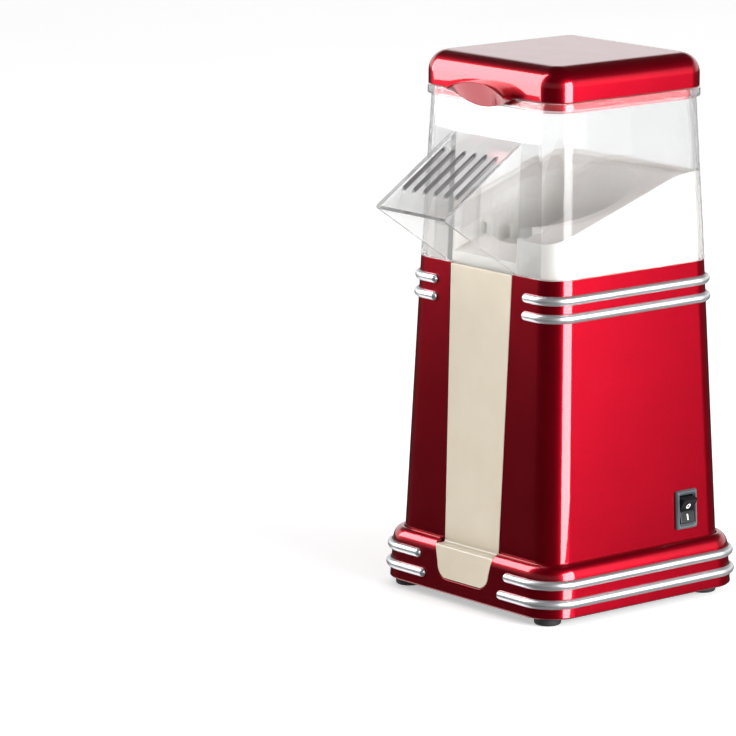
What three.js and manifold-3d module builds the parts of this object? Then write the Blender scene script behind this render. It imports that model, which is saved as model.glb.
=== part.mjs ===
// Hot-air popcorn maker in a retro style: a tapered red housing on a stepped plinth, an ivory front
// panel and upper deck, a clear lift-off hood with a slotted pouring chute, and a red lift-off lid.
// Inside are the popping chamber, the heater, the fan with its motor, the rectifier, the switch and
// the wiring.
// Millimetres, +Z up, front towards -Y. The origin is the centre of the bounding box's bottom face.
import * as THREE from "three";
import { mergeVertices } from "three/addons/utils/BufferGeometryUtils.js";
import Module from "manifold-3d";

const wasm = await Module();
wasm.setup();

// ---------------------------------------------------------------- driving dimensions

const GAP = 0.3; // clearance between pieces that touch on the real object
const WALL = 2.2; // moulded walls of the housing

// Heights are measured from a level that the feet reach below by STAND.
const STAND = 1.6;
const FOOT = { radius: 7, height: 5.8, x: 54, front: -56.4, rear: 50.5, pegRadius: 2.2, pegTop: 10.6 };

const BASE = { bottom: 2.6, top: 29.5, half: 67.5, draft: 1 / 18, shoulder: 21.5, corner: 17.5 };
const NOTCH = { floor: 10, floorHalf: 12, round: 8, topHalf: 22.6 };

const BODY = { bottom: 20, seam: 30, top: 172, seamHalf: 60.5, topHalf: 55, corner: 13 };
const WINDOW = { seamHalf: 21.2, topHalf: 23.8 };

const HOOD = { bottom: 172.3, top: 260, bottomHalf: 55, topHalf: 51, corner: 12.5, wall: 2 };
const RIM = { bottom: 256.2, half: 52.8 };
const CHUTE = { half: 26.5, topZ: 239.3, lipY: -101.5, lipZ: 206, wall: 2 };
const SLOT = { count: 6, pitch: 8, width: 2.6, length: 33, start: 12 };

const LID = { bottom: 260.3, top: 278, half: 52.2, corner: 12, round: 10.5, wall: 2 };
const TAB = { half: 21.5, reach: 8.1, rise: 5.2, drop: 5.4, edge: 1.2 };

// The upper and the lower bar's heights, and how far from the middle each begins.
const TRIM = {
  radius: 2.4, proud: 2.3, bodyZ: [162, 153], bodyStart: 33, baseZ: [20, 10.4], baseStart: [32.5, 28.3],
};

const DECK = {
  bottom: 160, rimAtCentre: 206.4, slope: 0.326, flatFrom: 34, wall: 2, floor: 173.1, plate: 2.2,
};
const ROUND = 28; // facets of the large round pieces
const BORE = 37.5; // the deck's opening over the popping chamber
const TROUGH = { half: 24, backY: -34 };

const CHAMBER = { radius: 37.3, wall: 0.8, bottom: 99, top: 171.6, flange: 44, louvres: 16 };
const HOUSING = { radius: 46.5, wall: 1.5, bottom: 74.3, top: 170.3, flange: 49.5, screwRadius: 53 };
const HEATER = { ring: 28, coil: 4, wire: 0.6, z: 88.5, turns: 18, stepsPerTurn: 6, board: 43 };
const FAN = { radius: 38, blades: 9, bottom: 63, top: 71 };
const FAN_CASE = { bottom: 58.5, top: 74, inlet: 24 };
const MOTOR = { radius: 14, wall: 1, bottom: 22, top: 58.2, shaft: 1.15 };

const SWITCH = { y: 31.9, z: 45.4, height: 20.2, width: 14.2, cutHeight: 19.2, cutWidth: 12.9, tilt: 11 };
const GLAND = { x: -22, z: 46, bore: 3.2 };
const SCREW = { x: 52, y: 30, radius: 1.5 };

// The chute's lip leads at the front and the plinth's trims trail at the back: the frame is midway
// between them.
const BODY_Y = (-CHUTE.lipY - (BASE.half + TRIM.proud)) / 2;

// ---------------------------------------------------------------- materials

const finish = (color, roughness, metalness = 0, more = {}) =>
  new THREE.MeshStandardMaterial({ color, roughness, metalness, ...more });
const RED = finish(0xa3061c, 0.18, 0.55);
const IVORY = finish(0xece5d3, 0.42);
const CLEAR = finish(0xf4f8fb, 0.05, 0, { transparent: true, opacity: 0.25 });
const SILVER = finish(0xc9cdd0, 0.25, 0.95);
const CHARCOAL = finish(0x3a4148, 0.5);
const BLACK = finish(0x111214, 0.35);
const RUBBER = finish(0x1c1d1f, 0.85);
const ALUMINIUM = finish(0xb9bcc0, 0.35, 0.9);
const STEEL = finish(0x9a9ea3, 0.4, 0.9);
const MICA = finish(0xb9a98a, 0.6);
const NICHROME = finish(0x6f6a66, 0.45, 0.9);
const BRASS = finish(0xb5913e, 0.35, 0.9);
const COPPER = finish(0xa05a33, 0.4, 0.9);
const MAGNET = finish(0x2a2b2d, 0.7, 0.2);
const SILICONE = finish(0xd9d4c8, 0.7);
const BOARD = finish(0x2f6b46, 0.5);
const WIRE_BROWN = finish(0x5b3420, 0.5);
const WIRE_BLUE = finish(0x2b4f8f, 0.5);
const WIRE_WHITE = finish(0xe6e4de, 0.5);

// ---------------------------------------------------------------- solids and meshes

// A closed geometry as a solid that can be joined and cut.
function solid(geometry) {
  const bare = geometry.clone();
  bare.deleteAttribute("normal");
  bare.deleteAttribute("uv");
  const merged = mergeVertices(bare, 1e-4);
  const triVerts = new Uint32Array(merged.index.array);
  const vertProperties = merged.attributes.position.array;
  return new wasm.Manifold(new wasm.Mesh({ numProp: 3, vertProperties, triVerts }));
}

const join = (...solids) => solids.reduce((made, next) => made.add(next));
const cut = (from, ...tools) => tools.reduce((made, tool) => made.subtract(tool), from);

// A solid as a named mesh with its material.
function piece(name, made, material) {
  const { vertProperties, triVerts } = made.getMesh();
  const geometry = new THREE.BufferGeometry();
  geometry.setAttribute("position", new THREE.BufferAttribute(new Float32Array(vertProperties), 3));
  geometry.setIndex(new THREE.BufferAttribute(new Uint32Array(triVerts), 1));
  geometry.computeVertexNormals();
  const mesh = new THREE.Mesh(geometry, material);
  mesh.name = name;
  return mesh;
}

function box(x0, x1, y0, y1, z0, z1) {
  const geometry = new THREE.BoxGeometry(x1 - x0, y1 - y0, z1 - z0);
  return solid(geometry.translate((x0 + x1) / 2, (y0 + y1) / 2, (z0 + z1) / 2));
}

// A round bar along Z at (x, y).
function rod(radius, z0, z1, x = 0, y = 0, sides = 20) {
  const geometry = new THREE.CylinderGeometry(radius, radius, z1 - z0, sides).rotateX(Math.PI / 2);
  return solid(geometry.translate(x, y, (z0 + z1) / 2));
}

// A round bar along X or along Y through two of its coordinates.
const rodAlongX = (radius, x0, x1, y, z, sides = 20) =>
  rod(radius, x0, x1, 0, 0, sides).rotate([0, 90, 0]).translate([0, y, z]);
const rodAlongY = (radius, y0, y1, x, z, sides = 20) =>
  rod(radius, -y1, -y0, 0, 0, sides).rotate([90, 0, 0]).translate([x, 0, z]);

// A closed profile of [radius, z] points turned about Z.
function turned(profile, segments = 28) {
  const points = [...profile, profile[0]].map(([r, z]) => new THREE.Vector2(r, z));
  const lathe = () => solid(new THREE.LatheGeometry(points, segments).rotateX(Math.PI / 2));
  const made = lathe();
  if (made.volume() > 0) return made;
  points.reverse();
  return lathe();
}

const tube = (inner, outer, z0, z1, segments = 28) =>
  turned([[inner, z0], [outer, z0], [outer, z1], [inner, z1]], segments);

const outline = (points) => new THREE.Shape(points.map(([u, v]) => new THREE.Vector2(u, v)));

function extruded(shape, depth, basis) {
  const geometry = new THREE.ExtrudeGeometry(shape, { depth, bevelEnabled: false, curveSegments: 6 });
  return solid(geometry.applyMatrix4(new THREE.Matrix4().makeBasis(...basis)));
}

const X = new THREE.Vector3(1, 0, 0);
const Y = new THREE.Vector3(0, 1, 0);
const Z = new THREE.Vector3(0, 0, 1);

// A side view in (y, z) extruded from x0 to x1, and a front view in (x, z) extruded from y0 to y1.
const sideView = (shape, x0, x1) => extruded(shape, x1 - x0, [Y, Z, X]).translate([x0, 0, 0]);
const frontView = (shape, y0, y1) =>
  extruded(shape, y1 - y0, [X, Z, Y.clone().negate()]).translate([0, y1, 0]);

const CORNER_STEPS = 5;

// A rounded square ring of points at height z, counter-clockwise seen from above.
function ring(half, corner, z) {
  const centre = half - corner;
  const points = [];
  for (const [sx, sy, start] of [[1, 1, 0], [-1, 1, 90], [-1, -1, 180], [1, -1, 270]]) {
    for (let i = 0; i <= CORNER_STEPS; i++) {
      const angle = THREE.MathUtils.degToRad(start + (90 * i) / CORNER_STEPS);
      points.push([sx * centre + corner * Math.cos(angle), sy * centre + corner * Math.sin(angle), z]);
    }
  }
  return points;
}

// A closed body through stacked rings of equal length, from the lowest to the highest.
function loft(rings) {
  const n = rings[0].length;
  const last = (rings.length - 1) * n;
  const index = [];
  for (let k = 0; k < rings.length - 1; k++) {
    for (let i = 0; i < n; i++) {
      const a = k * n + i;
      const b = k * n + ((i + 1) % n);
      index.push(a, b, b + n, a, b + n, a + n);
    }
  }
  for (let i = 1; i < n - 1; i++) index.push(0, i + 1, i, last, last + i, last + i + 1);
  const geometry = new THREE.BufferGeometry();
  geometry.setAttribute("position", new THREE.Float32BufferAttribute(rings.flat(2), 3));
  geometry.setIndex(index);
  return solid(geometry);
}

// A round bar along a smooth curve through the points.
function wire(points, radius = 1.1, steps = 16, sides = 6) {
  const path = new THREE.CatmullRomCurve3(points.map((p) => new THREE.Vector3(...p)), false, "centripetal");
  return swept(path, radius, steps, sides);
}

function swept(extrudePath, radius, steps, sides) {
  const section = Array.from({ length: sides }, (_, i) => {
    const angle = (2 * Math.PI * i) / sides;
    return [radius * Math.cos(angle), radius * Math.sin(angle)];
  });
  return solid(new THREE.ExtrudeGeometry(outline(section), { steps, bevelEnabled: false, extrudePath }));
}

const lerp = (a, b, t) => a + (b - a) * t;
const bodyHalf = (z) => lerp(BODY.seamHalf, BODY.topHalf, (z - BODY.seam) / (BODY.top - BODY.seam));
const hoodHalf = (z) => lerp(HOOD.bottomHalf, HOOD.topHalf, (z - HOOD.bottom) / (HOOD.top - HOOD.bottom));
const baseHalf = (z) => BASE.half - BASE.draft * (z - BASE.bottom);
const mirrored = (list) => list.concat(list.map(([u, v]) => [-u, v]).reverse());

// ---------------------------------------------------------------- plinth

// The front notch's outline in (x, z), drawn in by the given clearance.
function notchOutline(clearance) {
  const { floor, floorHalf, round, topHalf } = NOTCH;
  const arc = [];
  for (let i = 0; i <= 5; i++) {
    const angle = (Math.PI / 2) * (i / 5);
    const reach = round - clearance;
    arc.push([floorHalf + reach * Math.sin(angle), floor + round - reach * Math.cos(angle)]);
  }
  return outline(mirrored([...arc, [topHalf - clearance, BASE.top], [topHalf - clearance, BASE.top + 4]]));
}

// The plinth's outer rings: a slight draft, then a quarter-round shoulder up to the seam.
function plinthRings(inset) {
  const { bottom, top, shoulder, corner } = BASE;
  const rings = [bottom, shoulder].map((z) => ring(baseHalf(z) - inset, corner - inset, z));
  const run = baseHalf(shoulder) - BODY.seamHalf - 1;
  const tighten = corner - BODY.corner - 1;
  for (let i = 1; i <= 4; i++) {
    const angle = (Math.PI / 2) * (i / 4);
    const half = baseHalf(shoulder) - run * (1 - Math.cos(angle));
    const z = shoulder + (top - shoulder) * Math.sin(angle);
    const round = corner - tighten * (1 - Math.cos(angle));
    rings.push(ring(half - inset, round - inset * 0.6, z - inset));
  }
  return rings;
}

function baseShell() {
  const cavity = plinthRings(2.5);
  cavity[0] = ring(BASE.half - 2.5, BASE.corner - 2.5, BASE.bottom - 1);
  const opening = BODY.seamHalf + GAP + 0.25;
  const mouth = loft([ring(opening, BODY.corner + GAP, 15), ring(opening, BODY.corner + GAP, 40)]);
  const notch = frontView(notchOutline(0), -80, -50);
  return cut(loft(plinthRings(0)), loft(cavity), mouth, notch);
}

function basePlate() {
  const half = BASE.half - 2.5 - GAP - 0.1;
  const round = BASE.corner - 2.5 - GAP;
  let made = loft([ring(half, round, 4.5), ring(half, round, 7)]);
  for (let i = -5; i <= 5; i++) {
    const reach = Math.sqrt(34 ** 2 - (i * 5.5) ** 2);
    made = cut(made, box(-reach, reach, i * 5.5 - 1.4, i * 5.5 + 1.4, 0, 20));
  }
  for (const side of [-1, 1]) {
    for (const y of [FOOT.front, FOOT.rear]) {
      made = cut(made, rod(FOOT.pegRadius + GAP, 0, 20, side * FOOT.x, y, 12));
    }
    for (const y of [-SCREW.y, SCREW.y]) {
      made = cut(made, rod(SCREW.radius + GAP, 0, 20, side * SCREW.x, y, 12));
    }
  }
  return made;
}

// A round rubber foot with the peg that holds it in the base plate.
function foot() {
  const { radius, height, pegRadius, pegTop } = FOOT;
  const profile = [[0, 0], [radius - 0.8, 0], [radius, 1.2], [radius, height], [pegRadius, height]];
  return turned([...profile, [pegRadius, pegTop], [0, pegTop]], 18);
}

// A pan-head screw with its tip up, its head's top face at z = 0 and its shank along +Z.
function screw(length, shank, head) {
  const cap = [[0, -1.8], [head * 0.7, -1.8], [head, -0.8], [head, 0]];
  return turned([...cap, [shank, 0], [shank, length - 1], [0, length]], 10);
}

// ---------------------------------------------------------------- housing

function bodyShell() {
  const { bottom, top, corner } = BODY;
  const outer = loft([ring(bodyHalf(bottom), corner, bottom), ring(bodyHalf(top), corner, top)]);
  const cavity = [bottom - 1, top + 1].map((z) => ring(bodyHalf(z) - WALL, corner - WALL, z));
  const widen = (WINDOW.topHalf - WINDOW.seamHalf) / (BODY.top - BODY.seam);
  const window = mirrored([[WINDOW.seamHalf - widen * 15, 15], [WINDOW.topHalf + widen * 8, BODY.top + 8]]);
  const toeSlot = box(-NOTCH.topHalf - GAP, NOTCH.topHalf + GAP, -80, -40, 0, BASE.top - 1.5);
  let made = cut(outer, loft(cavity), frontView(outline(window), -80, -40), toeSlot);
  const [across, up] = [SWITCH.cutWidth / 2, SWITCH.cutHeight / 2];
  const switchHole = box(40, 80, SWITCH.y - across, SWITCH.y + across, SWITCH.z - up, SWITCH.z + up);
  made = cut(made, switchHole, rodAlongY(5.3, 40, 80, GLAND.x, GLAND.z));
  for (let i = 0; i < 7; i++) made = cut(made, box(-24, 24, 40, 80, 72 + i * 6, 74.6 + i * 6));
  for (const x of [-1, 1]) {
    for (const y of [-1, 1]) made = join(made, screwPost(x, y));
  }
  return made;
}

// A screw post on the housing's side wall, with its rib.
function screwPost(x, y) {
  const wall = bodyHalf(18) - WALL / 2;
  const post = rod(4, 7.6, 32, x * SCREW.x, y * SCREW.y, 14);
  const [x0, x1] = [x * SCREW.x, x * wall].sort((a, b) => a - b);
  const rib = box(x0, x1, y * SCREW.y - 1.2, y * SCREW.y + 1.2, BODY.bottom, 31);
  return cut(join(post, rib), rod(SCREW.radius + GAP, 0, 24, x * SCREW.x, y * SCREW.y, 14));
}

function frontPanel() {
  const { seam, top } = BODY;
  const ledge = 27.5;
  const widen = (WINDOW.topHalf - WINDOW.seamHalf) / (top - seam);
  // A slab that follows the housing's front from z0 to z1, from one depth behind its surface to another.
  const slab = (z0, z1, near, far) => {
    const [low, high] = [bodyHalf(z0), bodyHalf(z1)];
    return outline([[near - low, z0], [near - high, z1], [far - high, z1], [far - low, z0]]);
  };
  const narrow = WINDOW.seamHalf - widen * (seam - 20);
  const width = (margin) => outline(mirrored([[narrow + margin, 20], [WINDOW.topHalf + margin, top]]));
  const layer = (z0, z1, near, far, margin) =>
    sideView(slab(z0, z1, near, far), -30, 30).intersect(frontView(width(margin), -80, -40));
  const face = layer(25.3, top - GAP, 0, WALL, -GAP - 0.05);
  const core = layer(32, top - 13, WALL - 1, WALL + 1, -GAP - 0.05);
  const flange = layer(32, top - 13, WALL + GAP, WALL + GAP + 1.5, 3.5);
  const toeShape = outline([
    [-baseHalf(NOTCH.floor), NOTCH.floor + GAP],
    [-baseHalf(ledge), ledge],
    [-bodyHalf(ledge) + WALL, ledge],
    [-bodyHalf(ledge) + WALL, ledge - WALL],
    [-baseHalf(ledge) + WALL, ledge - WALL],
    [-baseHalf(NOTCH.floor) + WALL, NOTCH.floor + GAP],
  ]);
  const toe = sideView(toeShape, -30, 30).intersect(frontView(notchOutline(GAP + 0.05), -80, -40));
  return join(face, core, flange, toe);
}

// A silver bar round the housing from one front wing, past the back, to the other: a half-round section
// on the wall, tapered to a round end at each front wing.
function trim(half, corner, z, start) {
  const { proud, radius } = TRIM;
  const arc = Array.from({ length: 6 }, (_, i) => Math.PI / 2 - (Math.PI * i) / 5);
  const rows = arc.map((angle) => {
    const depth = proud * Math.cos(angle);
    const row = ring(half + depth, corner + depth, z + radius * Math.sin(angle));
    return [...row.slice(3 * (CORNER_STEPS + 1)), ...row.slice(0, 3 * (CORNER_STEPS + 1))];
  });
  const around = rows[0].map((_, station) => rows.map((row) => row[station]));
  const ends = [[0, 0.35], [radius * 0.35, 0.8], [radius, 1]];
  const tip = (side) =>
    ends.map(([inset, scale]) =>
      arc.map((angle) => {
        const y = -half - proud * scale * Math.cos(angle);
        return [side * (start + inset), y, z + radius * scale * Math.sin(angle)];
      }),
    );
  return loft([...tip(1), ...around, ...tip(-1).reverse()]);
}

function cordGland() {
  const inner = GLAND.bore;
  const profile = [[inner, -7], [5, -7], [5, 2 * GAP], [7.5, 2 * GAP], [7, 3], [4.6, 5.5], [inner, 5.5]];
  const wall = bodyHalf(GLAND.z);
  return turned(profile, 24).rotate([-90, 0, 0]).translate([GLAND.x, wall, GLAND.z]);
}

function glandNut() {
  const face = bodyHalf(GLAND.z) - WALL - 2 * GAP - 0.1;
  const hexagon = rod(8.2, -face, 2.6 - face, 0, 0, 6);
  const nut = cut(hexagon, rod(5.3, -face - 1, 4 - face, 0, 0, 18));
  return nut.rotate([90, 0, 0]).translate([GLAND.x, 0, GLAND.z]);
}

// ---------------------------------------------------------------- upper deck and popping chamber

// The deck's rim line in (y, z): it rises to the back and ends level.
function rimProfile(drop) {
  const { rimAtCentre, slope, flatFrom } = DECK;
  const rim = (y) => rimAtCentre + slope * Math.min(y, flatFrom) - drop;
  return [[-60, rim(-60)], [flatFrom, rim(flatFrom)], [60, rim(60)]];
}

function upperDeck() {
  const { bottom, wall, floor, plate } = DECK;
  const skinHalf = (z) => Math.min(bodyHalf(z) - WALL, hoodHalf(z) - HOOD.wall) - GAP - 0.1;
  const skin = (inset, from) =>
    loft([from, BODY.top, 235].map((z) => ring(skinHalf(z) - inset, BODY.corner - WALL - inset, z)));
  const below = (drop) => sideView(outline([...rimProfile(drop), [60, 100], [-60, 100]]), -60, 60);
  const outer = skin(0, bottom).intersect(below(0));
  const walls = cut(outer, skin(wall, bottom - 1));
  const ramp = cut(outer.intersect(below(2.5)), below(2.5 + plate));
  const slab = tube(BORE, 51.5, floor, floor + plate, ROUND);
  const collar = tube(BORE, BORE + 2, floor, 230, ROUND).intersect(below(2.6));
  const { half, backY } = TROUGH;
  const channel = box(-half, half, -60, backY, floor + plate + 0.4, 240);
  const cheeks = [-1, 1].map((s) => {
    const [x0, x1] = [s * half, s * (half + 2)].sort((a, b) => a - b);
    return outer.intersect(box(x0, x1, -60, backY + 4, floor, 240)).intersect(below(2.6));
  });
  const tongueShape = outline([[-60, 174], [-30, 174], [-30, 186], [-60, 174.6]]);
  const tongue = sideView(tongueShape, -half - 1, half + 1).intersect(outer);
  const posts = [45, 135, 225, 315].map((degrees) => {
    const angle = THREE.MathUtils.degToRad(degrees);
    const [x, y] = [HOUSING.screwRadius * Math.cos(angle), HOUSING.screwRadius * Math.sin(angle)];
    return { post: rod(3.2, HOUSING.top + GAP, 182, x, y, 12), hole: rod(1.6, 160, 179, x, y, 12) };
  });
  const body = cut(join(walls, ramp, slab, collar, ...cheeks), channel);
  const open = cut(join(body, tongue, ...posts.map((p) => p.post)), rod(BORE, 150, 260, 0, 0, ROUND));
  return cut(open, ...posts.map((p) => p.hole));
}

function poppingChamber() {
  const { radius, wall, bottom, top, flange, louvres } = CHAMBER;
  const inner = radius - wall;
  let cup = turned(
    [
      [0, bottom + 3.5], [12, bottom + 2.2], [22, bottom], [radius - 4, bottom], [radius, bottom + 4],
      [radius, top - 1], [flange, top - 1], [flange, top], [inner, top], [inner, bottom + 4.4],
      [radius - 4.4, bottom + 1], [22, bottom + 1], [12, bottom + 3.2], [0, bottom + 4.5],
    ],
    ROUND,
  );
  for (let i = 0; i < louvres; i++) {
    const louvre = box(inner - 4, radius + 4, -1, 1, -7, 7).rotate([20, 0, 0]);
    cup = cut(cup, louvre.translate([0, 0, bottom + 14]).rotate([0, 0, (360 * (i + 0.5)) / louvres]));
  }
  return cup;
}

const chamberGasket = () => tube(38.5, CHAMBER.flange, CHAMBER.top + GAP, DECK.floor - GAP, ROUND);

// ---------------------------------------------------------------- heater

function heaterHousing() {
  const { radius, wall, bottom, top, flange, screwRadius } = HOUSING;
  const inner = radius - wall;
  let made = turned(
    [
      [inner, bottom], [50.5, bottom], [50.5, bottom + 1.2], [radius, bottom + 1.2], [radius, top - 1.2],
      [flange, top - 1.2], [flange, top], [42, top], [42, top - 1.2], [inner, top - 1.2],
    ],
    ROUND,
  );
  const tab = box(flange - 2, screwRadius, -5, 5, top - 1.2, top);
  const ear = join(rod(5, top - 1.2, top, screwRadius, 0, 16), tab);
  const screwHole = rod(1.7, top - 5, top + 5, screwRadius, 0, 12);
  for (const degrees of [45, 135, 225, 315]) {
    made = cut(join(made, ear.rotate([0, 0, degrees])), screwHole.rotate([0, 0, degrees]));
  }
  const wireHole = rodAlongX(2.2, 30, 60, 0, HEATER.z - 3, 12);
  return cut(made, ...[35, -35, -60].map((degrees) => wireHole.rotate([0, 0, degrees])));
}

// One of two crossed boards. The first is slotted from above and the second from below.
function micaBoard(second) {
  const { board, ring: middle, coil, z } = HEATER;
  const half = 8;
  const blank = box(-board, board, -0.5, 0.5, z - half, z + half);
  const [from, to] = second ? [z - half - 1, z + GAP] : [z - GAP, z + half + 1];
  const slot = box(-0.8, 0.8, -2, 2, from, to);
  const tunnels = [-1, 1].map((s) => rodAlongY(coil + 2, -4, 4, s * middle, z, 16));
  return cut(blank, slot, ...tunnels).rotate([0, 0, second ? 90 : 0]);
}

class CoilRing extends THREE.Curve {
  getPoint(t) {
    const { ring: middle, coil, z, turns } = HEATER;
    const round = THREE.MathUtils.degToRad(18 + 324 * t);
    const twist = 2 * Math.PI * turns * t;
    const radius = middle + coil * Math.cos(twist);
    return new THREE.Vector3(radius * Math.cos(round), radius * Math.sin(round), z + coil * Math.sin(twist));
  }
}

const heaterCoil = () => swept(new CoilRing(), HEATER.wire, HEATER.turns * HEATER.stepsPerTurn, 4);

function thermostat() {
  const near = -HOUSING.radius - GAP;
  const can = rodAlongX(8, near - 5.5, near, 0, 120, 24);
  const blades = [-4, 4].map((y) => box(near - 4.6, near - 3.8, y - 2, y + 2, 104, 115));
  return join(can, ...blades);
}

function thermalFuse() {
  const half = [[0, 96], [0.6, 96], [0.6, 101], [1.9, 102]];
  const profile = [...half, [1.9, 112], [0.6, 113], [0.6, 118], [0, 118]];
  return turned(profile, 10).translate([-48, -18, 0]);
}

// ---------------------------------------------------------------- fan and motor

function fanCase() {
  const { radius, wall } = HOUSING;
  const { bottom, top, inlet } = FAN_CASE;
  const flange = top - 1.2;
  const outside = [[inlet, bottom], [radius, bottom], [radius, flange], [50.5, flange], [50.5, top]];
  const inside = [[radius - wall, top], [radius - wall, bottom + 1.6], [inlet, bottom + 1.6]];
  let made = turned([...outside, ...inside], ROUND);
  const hub = tube(4, MOTOR.radius, bottom, bottom + 1.6, 24);
  const arm = box(MOTOR.radius - 1, inlet + 2, -3, 3, bottom, bottom + 1.6);
  for (const degrees of [30, 150, 270]) made = join(made, arm.rotate([0, 0, degrees]));
  return cut(join(made, hub), rod(1.4, 50, 64, 8, 0, 12), rod(1.4, 50, 64, -8, 0, 12));
}

function fanImpeller() {
  const { radius, blades, bottom, top } = FAN;
  const hub = rod(6, bottom, top + 1, 0, 0, 24);
  const disc = rod(radius, bottom, bottom + 1.2, 0, 0, ROUND);
  const vane = box(3, radius - 2, -0.6, 0.6, bottom + 1, top).rotate([0, 0, -25]).translate([3, 0, 0]);
  const vanes = Array.from({ length: blades }, (_, i) => vane.rotate([0, 0, (360 * i) / blades]));
  return cut(join(hub, disc, ...vanes), rod(MOTOR.shaft + GAP, 50, 80, 0, 0, 16));
}

function motorCan() {
  const { radius, wall, bottom, top, shaft } = MOTOR;
  const collar = shaft + 0.45;
  const outside = [[radius - wall, bottom], [radius, bottom], [radius, top], [collar, top]];
  const made = turned([...outside, [collar, top - wall], [radius - wall, top - wall]], 28);
  return cut(made, ...[8, -8].map((x) => rod(1.4, 50, 64, x, 0, 12)));
}

function motorEndCap() {
  const disc = rod(MOTOR.radius - MOTOR.wall - GAP, 19.5, 24, 0, 0, 24);
  const posts = [-9, 9].map((x) => rod(1.2, 17.3, 21, x, 0, 8));
  return cut(join(disc, ...posts), rod(MOTOR.shaft + GAP, 10, 30, 0, 0, 12));
}

const motorBush = () => tube(MOTOR.shaft + GAP, 3.4, 53.4, MOTOR.top - MOTOR.wall - GAP, 16);
const motorShaft = () => rod(MOTOR.shaft, 18, FAN.top + 1.3, 0, 0, 12);

function motorArmature() {
  const core = tube(MOTOR.shaft + GAP, 10.2, 31, 50, 24);
  const commutator = tube(MOTOR.shaft + GAP, 4, 25, 32, 16);
  const slots = Array.from({ length: 5 }, (_, i) => box(7, 12, -0.9, 0.9, 30, 52).rotate([0, 0, 72 * i]));
  return cut(join(core, commutator), ...slots);
}

// A magnet that lines one side of the motor's can.
function motorMagnet(side) {
  const sleeve = tube(11, MOTOR.radius - MOTOR.wall - GAP, 29, 51, 28);
  const [x0, x1] = side > 0 ? [4, 20] : [-20, -4];
  return sleeve.intersect(box(x0, x1, -20, 20, 20, 60));
}

const rectifierBoard = () => tube(3, 12, 15.4, 17, 24);
const diode = (x, y) => rodAlongX(1.4, x - 2.6, x + 2.6, y, 13.6, 10);

// ---------------------------------------------------------------- switch and terminals
// The switch is drawn with its outward axis along +X, its panel face at x = 0 and its pivot at z = 0.

const ROCKER = { pivot: -0.6, radius: 7, halfWidth: 4.9 };

function switchHousing() {
  const { height, width, cutHeight, cutWidth } = SWITCH;
  const bezel = box(GAP, 2, -width / 2, width / 2, -height / 2, height / 2);
  const [across, up] = [cutWidth / 2 - 0.3, cutHeight / 2 - 0.3];
  const block = box(-14, 1, -across, across, -up, up);
  const room = ROCKER.halfWidth + GAP;
  const well = rodAlongY(ROCKER.radius + 0.4, -room, room, ROCKER.pivot, 0, 28);
  const mouth = box(ROCKER.pivot, 10, -room, room, -ROCKER.radius - 0.4, ROCKER.radius + 0.4);
  return cut(join(bezel, block), well, mouth);
}

// A rocker with a round back and two facets that meet in a shallow valley at its middle.
function switchRocker() {
  const { pivot, radius, halfWidth } = ROCKER;
  const rim = 4.4;
  const points = [[pivot + rim, radius * 0.9], [1.8, 0], [pivot + rim, -radius * 0.9]];
  for (let i = 0; i <= 12; i++) {
    const angle = THREE.MathUtils.degToRad(lerp(-82, -278, i / 12));
    points.push([pivot + radius * Math.cos(angle), radius * Math.sin(angle)]);
  }
  return extruded(outline(points), 2 * halfWidth, [X, Z, Y.clone().negate()]).translate([0, halfWidth, 0]);
}

const switchBlade = (z) => box(-24, -14.3, -2.4, 2.4, z - 0.4, z + 0.4);

function terminalBlock() {
  let made = box(-30, -10, 36, 48, 7.3, 20.3);
  for (const x of [-25, -15]) {
    made = cut(made, rod(2.2, 15, 30, x, 42, 10), rodAlongY(1.7, 30, 60, x, 12, 10));
  }
  return made;
}

// ---------------------------------------------------------------- hood and lid

function hood() {
  const { bottom, top, corner, wall } = HOOD;
  const shellRings = (inset, z0, z1) =>
    loft([z0, z1].map((z) => ring(hoodHalf(z) - inset, corner - inset, z)));
  const lip = [RIM.bottom, top].map((z) => ring(RIM.half, corner + 0.5, z));
  const rim = loft([ring(RIM.half - 1, corner, RIM.bottom - 1), ...lip]);
  const { half, topZ, lipY, lipZ, wall: thick } = CHUTE;
  const rootY = -hoodHalf(topZ);
  const under = [[lipY, lipZ - 1.6], [-hoodHalf(bottom) + 1, bottom]];
  const triangle = outline([[rootY + 1, topZ], [lipY, lipZ], ...under]);
  const spout = sideView(triangle, -half, half);
  const shell = join(shellRings(0, bottom, top), rim, spout);
  const hollow = shellRings(wall, bottom - 1, top + 1);
  const slope = (topZ - lipZ) / (rootY - lipY);
  const ceiling = (y) => topZ - thick * 1.25 + slope * (y - rootY);
  const [back, ahead] = [-45, lipY - 5];
  const throat = outline([[back, ceiling(back)], [ahead, ceiling(ahead)], [ahead, 150], [back, 150]]);
  return cut(shell, hollow, sideView(throat, -half + thick, half - thick), ...chuteSlots(slope, rootY));
}

// The slots through the chute's sloping top.
function chuteSlots(slope, rootY) {
  const angle = Math.atan(slope);
  const from = SLOT.start * Math.cos(angle);
  const to = (SLOT.start + SLOT.length) * Math.cos(angle);
  return Array.from({ length: SLOT.count }, (_, i) => {
    const x = (i - (SLOT.count - 1) / 2) * SLOT.pitch;
    return box(x - SLOT.width / 2, x + SLOT.width / 2, rootY - to, rootY - from, 195, 260);
  });
}

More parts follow.
